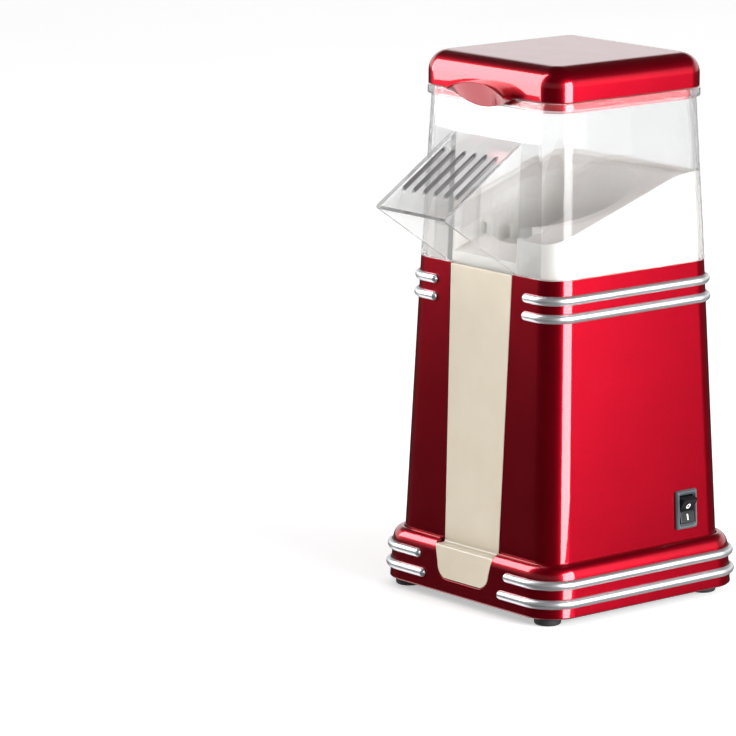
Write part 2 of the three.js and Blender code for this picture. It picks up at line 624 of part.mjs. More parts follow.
function lid() {
  const { bottom, top, half, corner, round, wall } = LID;
  const crown = (inset, start) => {
    const rings = [ring(half - inset, corner - inset, start)];
    for (let i = 0; i <= 5; i++) {
      const angle = (Math.PI / 2) * (i / 5);
      const draw = (round - inset) * (1 - Math.cos(angle));
      const z = top - inset - (round - inset) * (1 - Math.sin(angle));
      rings.push(ring(half - inset - draw, Math.max(corner - inset - draw, 1), z));
    }
    return loft(rings);
  };
  const inside = hoodHalf(HOOD.top) - HOOD.wall - 0.5;
  const spigot = cut(
    loft([ring(inside, 10, HOOD.top - 4), ring(inside, 10, bottom + 3)]),
    loft([ring(inside - 1.6, 8.4, HOOD.top - 5), ring(inside - 1.6, 8.4, bottom + 4)]),
  );
  const ledge = cut(
    loft([ring(half - 0.5, corner - 0.5, bottom), ring(half - 0.5, corner - 0.5, bottom + 1.8)]),
    loft([ring(inside - 1.6, 8.4, bottom - 1), ring(inside - 1.6, 8.4, bottom + 4)]),
  );
  return join(cut(crown(0, bottom), crown(wall, bottom - 1)), spigot, ledge, lidTab());
}

// The finger tab at the lid's front: a lip ahead of the hood's rim that leans outwards, deepest and
// highest at its middle.
function lidTab() {
  const { half, reach, rise, drop, edge } = TAB;
  const { bottom } = LID;
  const root = -LID.half + 1.2;
  const clear = -RIM.half - 0.8;
  const front = -LID.half - reach;
  const sections = Array.from({ length: 13 }, (_, i) => {
    const across = 1 - i / 6;
    const swell = 1 - across ** 2;
    const side = [
      [root, bottom],
      [clear, bottom],
      [clear, bottom - 0.4 - drop * swell],
      [clear - edge, bottom - 0.6 - drop * swell],
      [front + 0.3, bottom + 0.9 + (rise - 0.2) * swell],
      [front, bottom + 1.7 + rise * swell],
      [root, bottom + 1.7 + rise * swell],
    ];
    return side.map(([y, z]) => [half * across, y, z]);
  });
  return loft(sections);
}

// ---------------------------------------------------------------- assembly

const machine = new THREE.Group();
machine.position.set(0, BODY_Y, STAND);
const put = (group, ...meshes) => group.add(...meshes);
const placed = (mesh, x, y, z) => {
  mesh.position.set(x, y, z);
  return mesh;
};

put(machine, piece("base_shell", baseShell(), RED), piece("base_plate", basePlate(), BLACK));
const corners = [["front_left", -1, -1], ["front_right", 1, -1], ["rear_left", -1, 1], ["rear_right", 1, 1]];
for (const [corner, sx, sy] of corners) {
  const reach = HOUSING.screwRadius * Math.SQRT1_2;
  const baseScrew = piece("base_screw_" + corner, screw(14, SCREW.radius, 3.2), STEEL);
  const housingScrew = piece("housing_screw_" + corner, screw(9, 1.3, 2.6), STEEL);
  const footY = sy < 0 ? FOOT.front : FOOT.rear;
  put(machine, placed(piece("foot_" + corner, foot(), RUBBER), sx * FOOT.x, footY, -STAND));
  put(machine, placed(baseScrew, sx * SCREW.x, sy * SCREW.y, 4.2));
  put(machine, placed(housingScrew, sx * reach, sy * reach, 168.8));
}

put(machine, piece("body_shell", bodyShell(), RED), piece("front_panel", frontPanel(), IVORY));
for (const [i, level] of ["upper", "lower"].entries()) {
  const [bodyZ, baseZ] = [TRIM.bodyZ[i], TRIM.baseZ[i]];
  const bodyTrim = trim(bodyHalf(bodyZ - TRIM.radius) + 0.1, BODY.corner, bodyZ, TRIM.bodyStart);
  const baseTrim = trim(baseHalf(baseZ - TRIM.radius) + 0.1, BASE.corner, baseZ, TRIM.baseStart[i]);
  put(machine, piece("body_trim_" + level, bodyTrim, SILVER));
  put(machine, piece("base_trim_" + level, baseTrim, SILVER));
}
put(machine, piece("cord_gland", cordGland(), BLACK), piece("gland_nut", glandNut(), BLACK));

put(machine, piece("upper_deck", upperDeck(), IVORY));
put(machine, piece("popping_chamber", poppingChamber(), ALUMINIUM));
put(machine, piece("chamber_gasket", chamberGasket(), SILICONE));
put(machine, piece("heater_housing", heaterHousing(), STEEL));
put(machine, piece("mica_board_front", micaBoard(false), MICA));
put(machine, piece("mica_board_side", micaBoard(true), MICA));
put(machine, piece("heater_coil", heaterCoil(), NICHROME), piece("thermostat", thermostat(), BRASS));
put(machine, piece("thermal_fuse", thermalFuse(), SILVER));

put(machine, piece("fan_case", fanCase(), BLACK), piece("fan_impeller", fanImpeller(), STEEL));
put(machine, piece("motor_can", motorCan(), STEEL), piece("motor_end_cap", motorEndCap(), BLACK));
put(machine, piece("motor_bush", motorBush(), BRASS), piece("motor_shaft", motorShaft(), STEEL));
put(machine, piece("motor_armature", motorArmature(), COPPER));
put(machine, piece("motor_magnet_left", motorMagnet(-1), MAGNET));
put(machine, piece("motor_magnet_right", motorMagnet(1), MAGNET));
for (const [side, s] of [["left", -1], ["right", 1]]) {
  const fixing = piece("motor_screw_" + side, screw(5, 1.1, 2), STEEL);
  fixing.rotation.x = Math.PI;
  put(machine, placed(fixing, s * 8, 0, FAN_CASE.bottom + 1.6 + 0.2));
}
put(machine, piece("rectifier_board", rectifierBoard(), BOARD));
for (const [i, [x, y]] of [[-6, -5], [6, -5], [-6, 5], [6, 5]].entries()) {
  put(machine, piece("diode_" + (i + 1), diode(x, y), BLACK));
}

const rockerSwitch = new THREE.Group();
rockerSwitch.position.set(bodyHalf(SWITCH.z), SWITCH.y, SWITCH.z);
rockerSwitch.rotation.y = -Math.atan((BODY.seamHalf - BODY.topHalf) / (BODY.top - BODY.seam));
const rocker = new THREE.Group();
rocker.position.x = ROCKER.pivot;
rocker.rotation.y = THREE.MathUtils.degToRad(SWITCH.tilt);
put(rocker, placed(piece("switch_rocker", switchRocker(), BLACK), -ROCKER.pivot, 0, 0));
put(rockerSwitch, piece("switch_housing", switchHousing(), CHARCOAL), rocker);
put(rockerSwitch, piece("switch_blade_upper", switchBlade(5), BRASS));
put(rockerSwitch, piece("switch_blade_lower", switchBlade(-5), BRASS));
machine.add(rockerSwitch);

put(machine, piece("terminal_block", terminalBlock(), WIRE_WHITE));
const supplyLive = [[-15, 34.6, 12], [-14, 30, 16], [4, 30, 23], [24, 32, 44], [34.2, 31.9, 50.7]];
const switchedLive = [
  [34.4, 31.9, 39.2], [26, 36, 32], [4, 42, 26], [-22, 50, 30],
  [-42, 46, 48], [-48, 38, 80], [-51.5, 12, 98], [-51, 4, 102.5],
];
const neutral = [
  [-25, 34.6, 12], [-23, 28, 9.4], [-8, 24, 8.8], [18, 34, 14],
  [40, 43, 45], [46, 38, 74], [43.4, 30.4, 85.5], [34.4, 24.1, 85.5],
];
const motorFeed = [
  [7.5, -4, 18.35], [15, -8, 18.4], [30, -22, 34], [43, -36, 64], [43.4, -30.4, 85.5], [34.4, -24.1, 85.5],
];
const motorReturn = [
  [-4, -8, 18.2], [-5, -16, 18.4], [4, -30, 34], [24, -48, 66], [26.5, -45.9, 85.5], [21, -36.4, 85.5],
];
put(machine, piece("wire_supply_live", wire(supplyLive), WIRE_BROWN));
put(machine, piece("wire_switched_live", wire(switchedLive), WIRE_BROWN));
put(machine, piece("wire_neutral", wire(neutral), WIRE_BLUE));
put(machine, piece("wire_motor_feed", wire(motorFeed), WIRE_WHITE));
put(machine, piece("wire_motor_return", wire(motorReturn), WIRE_WHITE));

put(machine, piece("hood", hood(), CLEAR), piece("lid", lid(), RED));

export default machine;
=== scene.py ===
import math

import bmesh
import bpy
from mathutils import Matrix, Vector

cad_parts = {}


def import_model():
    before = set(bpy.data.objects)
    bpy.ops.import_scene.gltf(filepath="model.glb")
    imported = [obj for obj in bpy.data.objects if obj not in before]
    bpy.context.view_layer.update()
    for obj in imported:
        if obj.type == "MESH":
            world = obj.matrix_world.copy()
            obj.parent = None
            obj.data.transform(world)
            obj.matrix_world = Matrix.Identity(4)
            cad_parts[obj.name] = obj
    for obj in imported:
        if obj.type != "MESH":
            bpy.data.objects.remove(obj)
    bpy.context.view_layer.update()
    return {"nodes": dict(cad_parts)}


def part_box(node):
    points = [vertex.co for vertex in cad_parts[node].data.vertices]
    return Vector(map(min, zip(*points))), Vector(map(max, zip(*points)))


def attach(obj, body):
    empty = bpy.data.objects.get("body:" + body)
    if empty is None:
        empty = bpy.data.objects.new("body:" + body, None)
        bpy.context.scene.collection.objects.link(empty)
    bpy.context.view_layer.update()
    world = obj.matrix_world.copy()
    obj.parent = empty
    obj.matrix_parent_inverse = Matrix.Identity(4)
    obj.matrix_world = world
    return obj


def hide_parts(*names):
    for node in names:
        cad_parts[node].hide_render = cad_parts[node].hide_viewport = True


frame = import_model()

# ---------------------------------------------------------------- sizes, in metres
# The object stands on z = 0 with its front towards -Y. Its upright axis is the motor's.

MM = 0.001


def centre_of(node):
    low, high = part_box(node)
    return (low + high) / 2


def bottom_of(node):
    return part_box(node)[0].z


def top_of(node):
    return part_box(node)[1].z


AXIS_Y = centre_of("motor_shaft").y
GAP = 0.3 * MM

STAND = 1.6 * MM
BODY_FOOT = STAND + 20 * MM
BODY_TOP = top_of("body_shell")
SEAM = top_of("base_shell") + 0.5 * MM
SEAM_HALF = 60.5 * MM
BODY_TOP_HALF = 55 * MM
BODY_CORNER = 13 * MM
BODY_WALL = 2.2 * MM
WALL_CUT = (40 * MM, 80 * MM)
FRONT_CUT = (-80 * MM, -50 * MM)
WINDOW_SEAM_HALF = 21.2 * MM
WINDOW_TOP_HALF = 23.8 * MM
VENT_COUNT = 7
VENT_BOTTOM = STAND + 72 * MM
VENT_PITCH = 6 * MM
VENT_HEIGHT = 2.6 * MM
VENT_HALF = 24 * MM
CORD_PORT_RADIUS = 5.3 * MM

BASE_BOTTOM = bottom_of("base_shell")
BASE_TOP = top_of("base_shell")
BASE_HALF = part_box("base_shell")[1].x
BASE_SHOULDER = STAND + 21.5 * MM
BASE_DRAFT = 1 / 18
BASE_CORNER = 17.5 * MM
BASE_WALL = 2.5 * MM
BASE_LEDGE = STAND + 15 * MM
BASE_EDGE = 0.7 * MM
NOTCH_FLOOR = STAND + 10 * MM
NOTCH_FLOOR_HALF = 12 * MM
NOTCH_ROUND = 8 * MM
NOTCH_TOP_HALF = 22.6 * MM
TOE_LEDGE = STAND + 27.5 * MM
TOE_FILLET = 1.4 * MM
PANEL_WALL = 1.2 * MM
FOOT_PEG = 2.2 * MM
FOOT_SHOULDER = STAND + 4.2 * MM

HOOD_BOTTOM = bottom_of("hood")
HOOD_TOP = top_of("hood")
HOOD_BOTTOM_HALF = 55 * MM
HOOD_TOP_HALF = 51 * MM
HOOD_CORNER = 12.5 * MM
HOOD_WALL = 2 * MM
RIM_HALF = 52.8 * MM
RIM_BOTTOM = HOOD_TOP - 3.8 * MM

CHUTE_HALF = 26.5 * MM
CHUTE_ROOT_Z = STAND + 239.3 * MM
CHUTE_LIP_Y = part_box("hood")[0].y
CHUTE_LIP_Z = STAND + 206 * MM
CHUTE_WALL = 2 * MM
SLOT_COUNT = 6
SLOT_PITCH = 8 * MM
SLOT_WIDTH = 2.6 * MM
SLOT_START = 12 * MM
SLOT_LENGTH = 33 * MM

LID_BOTTOM = HOOD_TOP + GAP
LID_TOP = top_of("lid")
LID_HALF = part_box("lid")[1].x
LID_CORNER = 12 * MM
LID_ROUND = 10.5 * MM
LID_WALL = 2 * MM
SPIGOT_DEPTH = 4 * MM
SPIGOT_WALL = 1.6 * MM
TAB_HALF = 21.5 * MM
TAB_REACH = 8.1 * MM
TAB_RISE = 5.2 * MM
TAB_DROP = 5.4 * MM
TAB_EDGE = 1.2 * MM

TRIM_RADIUS = 2.4 * MM
TRIM_PROUD = 2.18 * MM
TRIM_ANGLES = [math.radians(90 - 15 * i) for i in range(13)]
BODY_TRIM_START = 33 * MM
BASE_TRIM_START = {"upper": 32.5 * MM, "lower": 28.3 * MM}

SWITCH_HALF_HEIGHT = 10.1 * MM
SWITCH_HALF_WIDTH = 7.1 * MM
SWITCH_HOLE_HALF_HEIGHT = 9.6 * MM
SWITCH_HOLE_HALF_WIDTH = 6.45 * MM
SLEEVE_END = -14 * MM
ROCKER_PIVOT = -0.6 * MM
ROCKER_RADIUS = 7 * MM
ROCKER_HALF = 4.9 * MM
ROCKER_END = ROCKER_RADIUS * 0.9
ROCKER_RISE = 4.4 * MM
ROCKER_VALLEY = 2.1 * MM
ROCKER_TILT = 11
MARK_FILM = 0.06 * MM

DECK_BOTTOM = bottom_of("upper_deck")
DECK_RIM = STAND + 206.4 * MM
DECK_SLOPE = 0.326
DECK_FLAT_FROM = 34 * MM
DECK_WALL = 2 * MM
DECK_FLOOR = STAND + 173.1 * MM
DECK_PLATE = 2.2 * MM
DECK_BORE = 37.5 * MM
DECK_FLANGE = 51.5 * MM
DECK_REACH = 60 * MM
DECK_BLANK_TOP = 235 * MM
COLLAR_BLANK_TOP = 230 * MM
CHANNEL_TOP = 240 * MM
RAMP_DROP = 2.5 * MM
COLLAR_DROP = 2.6 * MM
TROUGH_HALF = 24 * MM
TROUGH_BACK = -34 * MM

CORNER_STEPS = 12


def between(a, b, t):
    return a + (b - a) * t


def body_half(z):
    return between(SEAM_HALF, BODY_TOP_HALF, (z - SEAM) / (BODY_TOP - SEAM))


def window_half(z):
    return between(WINDOW_SEAM_HALF, WINDOW_TOP_HALF, (z - SEAM) / (BODY_TOP - SEAM))


def base_half(z):
    return BASE_HALF - BASE_DRAFT * (z - BASE_BOTTOM)


def hood_half(z):
    return between(HOOD_BOTTOM_HALF, HOOD_TOP_HALF, (z - HOOD_BOTTOM) / (HOOD_TOP - HOOD_BOTTOM))


# ---------------------------------------------------------------- meshes


def mesh_object(name, verts, faces):
    """A new object in the scene from corner points and faces."""
    mesh = bpy.data.meshes.new(name)
    mesh.from_pydata([tuple(v) for v in verts], [], faces)
    mesh.validate()
    made = bpy.data.objects.new(name, mesh)
    bpy.context.scene.collection.objects.link(made)
    tidy(made)
    return made


def tidy(made):
    """Joins doubled corners and turns every face outwards."""
    work = bmesh.new()
    work.from_mesh(made.data)
    bmesh.ops.remove_doubles(work, verts=work.verts, dist=2e-6)
    bmesh.ops.dissolve_degenerate(work, edges=work.edges, dist=1e-6)
    bmesh.ops.recalc_face_normals(work, faces=work.faces)
    work.to_mesh(made.data)
    work.free()


def settle(made):
    """Applies the object's modifiers to its mesh."""
    graph = bpy.context.evaluated_depsgraph_get()
    mesh = bpy.data.meshes.new_from_object(made.evaluated_get(graph))
    made.modifiers.clear()
    made.data = mesh
    return made


def combine(made, others, operation):
    """Applies one boolean after another and uses the other objects up."""
    for other in others:
        step = made.modifiers.new("combine", "BOOLEAN")
        step.operation = operation
        step.solver = "EXACT"
        step.object = other
        settle(made)
        bpy.data.objects.remove(other)
        tidy(made)
    return made


def cut(made, *others):
    return combine(made, others, "DIFFERENCE")


def join(made, *others):
    return combine(made, others, "UNION")


def keep_common(made, *others):
    return combine(made, others, "INTERSECT")


def round_edges(made, width, segments=3, angle=40):
    step = made.modifiers.new("round", "BEVEL")
    step.width = width
    step.segments = segments
    step.limit_method = "ANGLE"
    step.angle_limit = math.radians(angle)
    return settle(made)


def shade(made, sharp=38):
    """Smooth shading that keeps flat faces flat and edges past the angle sharp."""
    work = bmesh.new()
    work.from_mesh(made.data)
    for edge in work.edges:
        edge.smooth = len(edge.link_faces) == 2 and edge.calc_face_angle(0) < math.radians(sharp)
    for face in work.faces:
        face.smooth = True
    work.to_mesh(made.data)
    work.free()
    step = made.modifiers.new("normals", "WEIGHTED_NORMAL")
    step.keep_sharp = True
    return settle(made)


def rounded_rectangle(half_u, half_v, corner, steps):
    """Its outline as (u, v), counter-clockwise from the middle of the right side."""
    points = []
    for quarter, (su, sv) in enumerate([(1, 1), (-1, 1), (-1, -1), (1, -1)]):
        for i in range(steps + 1):
            angle = math.radians(90 * (quarter + i / steps))
            u = su * (half_u - corner) + corner * math.cos(angle)
            v = sv * (half_v - corner) + corner * math.sin(angle)
            points.append((u, v))
    return points


def ring(half, corner, z):
    """Points of a rounded square round the axis, counter-clockwise from above."""
    return [Vector((x, AXIS_Y + y, z)) for x, y in rounded_rectangle(half, half, corner, CORNER_STEPS)]


def wrapped(half, corner, z, start):
    """The same ring opened at the front: from (start, front) past the back to (-start, front)."""
    points = ring(half, corner, z)
    last_corner = 3 * (CORNER_STEPS + 1)
    around = points[last_corner:] + points[:last_corner]
    front = AXIS_Y - half
    return [Vector((start, front, z)), *around, Vector((-start, front, z))]


def skin(name, rows, loop=False):
    """A surface through rows of equal length, each closed on itself.

    The rows form a loop, or get two end faces.
    """
    n = len(rows[0])
    faces = []
    for k in range(len(rows) if loop else len(rows) - 1):
        a, b = k * n, (k + 1) % len(rows) * n
        faces += [(a + i, a + (i + 1) % n, b + (i + 1) % n, b + i) for i in range(n)]
    if not loop:
        last = (len(rows) - 1) * n
        faces += [tuple(range(n)), tuple(range(last, last + n))]
    return mesh_object(name, [p for row in rows for p in row], faces)


def sheet(name, rows):
    """An open surface through rows of equal length."""
    n = len(rows[0])
    faces = [
        (k * n + i, k * n + i + 1, (k + 1) * n + i + 1, (k + 1) * n + i)
        for k in range(len(rows) - 1)
        for i in range(n - 1)
    ]
    return mesh_object(name, [p for row in rows for p in row], faces)


def thicken(made, thickness):
    """Gives a sheet whose faces point outwards a wall behind it."""
    step = made.modifiers.new("wall", "SOLIDIFY")
    step.thickness = thickness
    step.offset = -1
    step.use_even_offset = True
    return settle(made)


def facing(made, direction):
    """Turns the whole sheet over if its first face looks away from the direction."""
    if made.data.polygons[0].normal.dot(Vector(direction)) < 0:
        made.data.flip_normals()
    return made


def prism(name, outline, place, near, far):
    """A straight bar from near to far. place(u, v, w) puts an outline point (u, v) at the depth w."""
    rows = [[place(u, v, w) for u, v in outline] for w in (near, far)]
    return skin(name, rows)


def across_x(name, outline, x0, x1):
    return prism(name, outline, lambda y, z, x: Vector((x, AXIS_Y + y, z)), x0, x1)


def across_y(name, outline, y0, y1):
    return prism(name, outline, lambda x, z, y: Vector((x, AXIS_Y + y, z)), y0, y1)


def across_z(name, outline, z0, z1):
    return prism(name, outline, lambda x, y, z: Vector((x, AXIS_Y + y, z)), z0, z1)


def rectangle(u0, u1, v0, v1):
    return [(u0, v0), (u1, v0), (u1, v1), (u0, v1)]


def circle(radius, u=0, v=0, count=64):
    turn = 2 * math.pi / count
    return [(u + radius * math.cos(i * turn), v + radius * math.sin(i * turn)) for i in range(count)]


def stadium(u0, u1, v0, v1):
    """A rectangle whose short ends, at v0 and v1, are round."""
    radius = (u1 - u0) / 2
    middle = (u0 + u1) / 2
    return arc(middle, v1 - radius, radius, 0, 180) + arc(middle, v0 + radius, radius, 180, 360)


def mirrored(points):
    return points + [(-u, v) for u, v in reversed(points)]


def lathe(name, profile, centre, axis="Z", count=64):
    """A closed profile of (radius, height) points turned about an axis through the centre."""
    turns = {"Z": Matrix.Identity(3), "Y": Matrix.Rotation(math.radians(-90), 3, "X"),
             "X": Matrix.Rotation(math.radians(90), 3, "Y")}
    rows = []
    for i in range(count):
        angle = 2 * math.pi * i / count
        row = [Vector((r * math.cos(angle), r * math.sin(angle), h)) for r, h in profile]
        rows.append([turns[axis] @ p + Vector(centre) for p in row])
    return skin(name, rows, loop=True)


def arc(u, v, radius, start, end, steps=6):
    """Points on a circle round (u, v), angles in degrees."""
    angles = [math.radians(between(start, end, i / steps)) for i in range(steps + 1)]
    return [(u + radius * math.cos(a), v + radius * math.sin(a)) for a in angles]


def piece(made, material, body, slot, *nodes):
    """Makes it a finished piece: its material, its body and the CAD nodes it stands for. The slot argument is
    not used.
    """
    made.data.materials.clear()
    made.data.materials.append(material)
    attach(made, body)
    if nodes:
        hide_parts(*nodes)
    return made


# ---------------------------------------------------------------- materials


class Nodes:
    """A node tree with short names for what is used most."""

    def __init__(self, tree):
        self.tree = tree

    def node(self, kind, **settings):
        """A new node. Settings are values of its inputs, or else its properties."""
        made = self.tree.nodes.new(kind)
        for key, value in settings.items():
            if key in made.inputs:
                made.inputs[key].default_value = value
            else:
                setattr(made, key, value)
        return made

    def link(self, output, target):
        self.tree.links.new(output, target)

    def math(self, operation, *values):
        """A sum on numbers and outputs of other nodes."""
        made = self.node("ShaderNodeMath", operation=operation)
        for socket, value in zip(made.inputs, values):
            if isinstance(value, (int, float)):
                socket.default_value = value
            else:
                self.link(value, socket)
        return made.outputs["Value"]

    def ramp(self, factor, *stops):
        made = self.node("ShaderNodeValToRGB")
        elements = made.color_ramp.elements
        while len(elements) < len(stops):
            elements.new(0.5)
        for element, (position, colour) in zip(elements, stops):
            element.position = position
            element.color = (*colour, 1)
        self.link(factor, made.inputs["Fac"])
        return made.outputs["Color"]


class Shader(Nodes):
    """A material and its main shader."""

    def __init__(self, name):
        self.material = bpy.data.materials.new(name)
        self.material.use_nodes = True
        super().__init__(self.material.node_tree)
        self.principled = self.tree.nodes["Principled BSDF"]
        self.coordinates = self.node("ShaderNodeTexCoord").outputs["Object"]

    def set(self, **sockets):
        for key, value in sockets.items():
            self.principled.inputs[key.replace("_", " ")].default_value = value

    def noise(self, scale, detail=3.0, stretch=(1, 1, 1), roughness=0.5):
        mapping = self.node("ShaderNodeMapping")
        mapping.inputs["Scale"].default_value = stretch
        self.link(self.coordinates, mapping.inputs["Vector"])
        made = self.node("ShaderNodeTexNoise", Scale=scale, Detail=detail, Roughness=roughness)
        self.link(mapping.outputs["Vector"], made.inputs["Vector"])
        return made.outputs["Fac"]

    def cells(self, scale):
        made = self.node("ShaderNodeTexVoronoi", Scale=scale)
        self.link(self.coordinates, made.inputs["Vector"])
        return made

    def span(self, factor, low, high):
        made = self.node("ShaderNodeMapRange")
        made.inputs["To Min"].default_value = low
        made.inputs["To Max"].default_value = high
        self.link(factor, made.inputs["Value"])
        return made.outputs["Result"]

    def colour(self, output):
        self.link(output, self.principled.inputs["Base Color"])

    def rough(self, factor, low, high):
        self.link(self.span(factor, low, high), self.principled.inputs["Roughness"])

    def bump(self, height, distance, strength, target="Normal"):
        made = self.node("ShaderNodeBump", Strength=strength, Distance=distance)
        self.link(height, made.inputs["Height"])
        self.link(made.outputs["Normal"], self.principled.inputs[target])

    def separated(self, colour):
        """A colour's three parts, which serve as random numbers from a texture's cells."""
        made = self.node("ShaderNodeSeparateColor")
        self.link(colour, made.inputs["Color"])
        return made.outputs


def candy_red():
    """Metallic red under a clear coat: fine flake in the base, a faint orange peel on top."""
    made = Shader("candy_red_paint")
    flake = made.separated(made.cells(2600).outputs["Color"])
    cloud = made.span(made.noise(22, 4), 0.25, 0.5)
    tone = made.math("MULTIPLY_ADD", flake["Red"], 0.3, cloud)
    made.colour(made.ramp(tone, (0.0, (0.25, 0.0, 0.006)), (1.0, (0.48, 0.0, 0.016))))
    made.rough(made.noise(60, 3), 0.3, 0.36)
    made.bump(flake["Green"], 0.01 * MM, 0.1)
    made.bump(made.noise(700, 1), 0.05 * MM, 0.03, "Coat Normal")
    made.set(Metallic=0.9, Coat_Weight=1.0, Coat_Roughness=0.015, Coat_IOR=1.5)
    return made.material


def moulded(name, dark, light, rough=(0.35, 0.45), grain=900, depth=0.03 * MM, coat=0.0):
    """Moulded plastic: slight clouding of the colour and a fine surface grain."""
    made = Shader(name)
    made.colour(made.ramp(made.noise(35, 5), (0.3, dark), (0.7, light)))
    made.rough(made.noise(80, 3), *rough)
    made.bump(made.noise(grain, 2), depth, 0.25)
    made.set(Coat_Weight=coat, Coat_Roughness=0.12)
    return made.material


def clear_plastic():
    """Polished clear moulding with very faint wiping marks."""
    made = Shader("clear_hood_plastic")
    marks = made.noise(45, 6, stretch=(1, 1, 7))
    made.rough(marks, 0.0, 0.035)
    made.bump(made.noise(18, 2), 0.1 * MM, 0.06)
    made.set(Base_Color=(0.97, 0.973, 0.976, 1), Transmission_Weight=1.0, IOR=1.4, Alpha=0.72)
    return made.material


def drawn_metal(name, dark, light, rough=(0.18, 0.32), stretch=(1, 1, 60), metallic=1.0):
    """Metal with fine lines along its working direction."""
    made = Shader(name)
    lines = made.noise(60, 6, stretch=stretch, roughness=0.7)
    made.colour(made.ramp(lines, (0.3, dark), (0.75, light)))
    made.rough(lines, *rough)
    made.bump(lines, 0.02 * MM, 0.2)
    made.set(Metallic=metallic)
    return made.material


def spun_metal(name, dark, light):
    """Metal turned on a lathe: fine rings round the upright axis."""
    made = Shader(name)
    place = made.node("ShaderNodeMapping")
    place.inputs["Location"].default_value = (0, -AXIS_Y, 0)
    made.link(made.coordinates, place.inputs["Vector"])
    rings = made.node("ShaderNodeTexWave", Scale=420, Distortion=1.5, Detail=2)
    rings.wave_type = "RINGS"
    rings.rings_direction = "SPHERICAL"
    made.link(place.outputs["Vector"], rings.inputs["Vector"])
    made.colour(made.ramp(made.noise(30, 5), (0.3, dark), (0.7, light)))
    made.rough(rings.outputs["Fac"], 0.22, 0.36)
    made.bump(rings.outputs["Fac"], 0.02 * MM, 0.25)
    made.set(Metallic=1.0)
    return made.material


def flaked(name, dark, light, scale, rough):
    """Pressed sheet with visible flakes, such as mica, or grains, such as ferrite."""
    made = Shader(name)
    cells = made.cells(scale)
    tone = made.separated(cells.outputs["Color"])
    made.colour(made.ramp(tone["Red"], (0.0, dark), (1.0, light)))
    made.rough(tone["Green"], *rough)
    made.bump(cells.outputs["Distance"], 0.1 * MM, 0.4)
    return made.material


def windings():
    """Enamelled copper wire lying side by side."""
    made = Shader("copper_windings")
    strands = made.node("ShaderNodeTexWave", Scale=380, Distortion=2.0, Detail=2)
    made.link(made.coordinates, strands.inputs["Vector"])
    made.colour(made.ramp(strands.outputs["Fac"], (0.0, (0.16, 0.04, 0.015)), (1.0, (0.62, 0.24, 0.1))))
    made.rough(strands.outputs["Fac"], 0.25, 0.45)
    made.bump(strands.outputs["Fac"], 0.3 * MM, 0.6)
    made.set(Metallic=0.8)
    return made.material


RED = candy_red()
# Painted light: one ivory plastic in two colours, a warmer cream on the front panel as painted shade with a
# warm bounce in it, and a greyer white on the deck as painted strong light.
IVORY_PAINTED_WARM_SHADE = moulded("ivory_plastic", (0.77, 0.68, 0.53), (0.83, 0.74, 0.59), rough=(0.3, 0.4), coat=0.3)
IVORY_PAINTED_LIT = moulded("ivory_painted_lit", (0.7, 0.685, 0.65), (0.76, 0.745, 0.71))
CLEAR = clear_plastic()
# Painted shade: an opaque dark grey for the clear hood's slot walls, in place of the dark refraction seen
# there.
SLOT_PAINTED_SHADE = moulded("slot_painted_shade", (0.1, 0.09, 0.1), (0.2, 0.19, 0.2), rough=(0.4, 0.5))
SILVER = drawn_metal("satin_silver", (0.7, 0.71, 0.73), (0.82, 0.83, 0.85), (0.34, 0.42), metallic=0.9)
RUBBER = moulded("rubber", (0.012, 0.012, 0.014), (0.03, 0.03, 0.033), (0.6, 0.8), 500, 0.1 * MM)
BLACK = moulded("black_plastic", (0.005, 0.005, 0.006), (0.012, 0.012, 0.014), (0.22, 0.3), 700)
CHARCOAL = moulded("charcoal_plastic", (0.05, 0.062, 0.07), (0.09, 0.105, 0.115), (0.3, 0.42), 700)
WHITE_MARK = moulded("white_print", (0.78, 0.78, 0.76), (0.9, 0.9, 0.88), rough=(0.4, 0.5))
WHITE_PLASTIC = moulded("white_plastic", (0.72, 0.71, 0.68), (0.84, 0.83, 0.8))
SILICONE = moulded("silicone", (0.62, 0.6, 0.54), (0.74, 0.72, 0.66), rough=(0.5, 0.65))
BOARD = flaked("circuit_laminate", (0.01, 0.09, 0.04), (0.03, 0.16, 0.07), 1500, (0.3, 0.5))
MICA = flaked("mica_sheet", (0.42, 0.34, 0.2), (0.66, 0.57, 0.38), 420, (0.25, 0.6))
FERRITE = flaked("ferrite", (0.02, 0.02, 0.022), (0.06, 0.06, 0.064), 2200, (0.55, 0.75))
ALUMINIUM = spun_metal("spun_aluminium", (0.62, 0.63, 0.64), (0.8, 0.81, 0.82))
STEEL = drawn_metal("zinc_steel", (0.42, 0.43, 0.45), (0.62, 0.63, 0.64), (0.28, 0.45), stretch=(1, 1, 30))
NICHROME = drawn_metal("nichrome", (0.16, 0.14, 0.13), (0.34, 0.3, 0.27), rough=(0.4, 0.6))
BRASS = drawn_metal("brass", (0.5, 0.34, 0.12), (0.72, 0.53, 0.22), rough=(0.25, 0.4))
COPPER = windings()
BROWN_WIRE = moulded("brown_insulation", (0.09, 0.035, 0.015), (0.15, 0.06, 0.03))
BLUE_WIRE = moulded("blue_insulation", (0.02, 0.06, 0.22), (0.04, 0.1, 0.32))

# ---------------------------------------------------------------- plinth


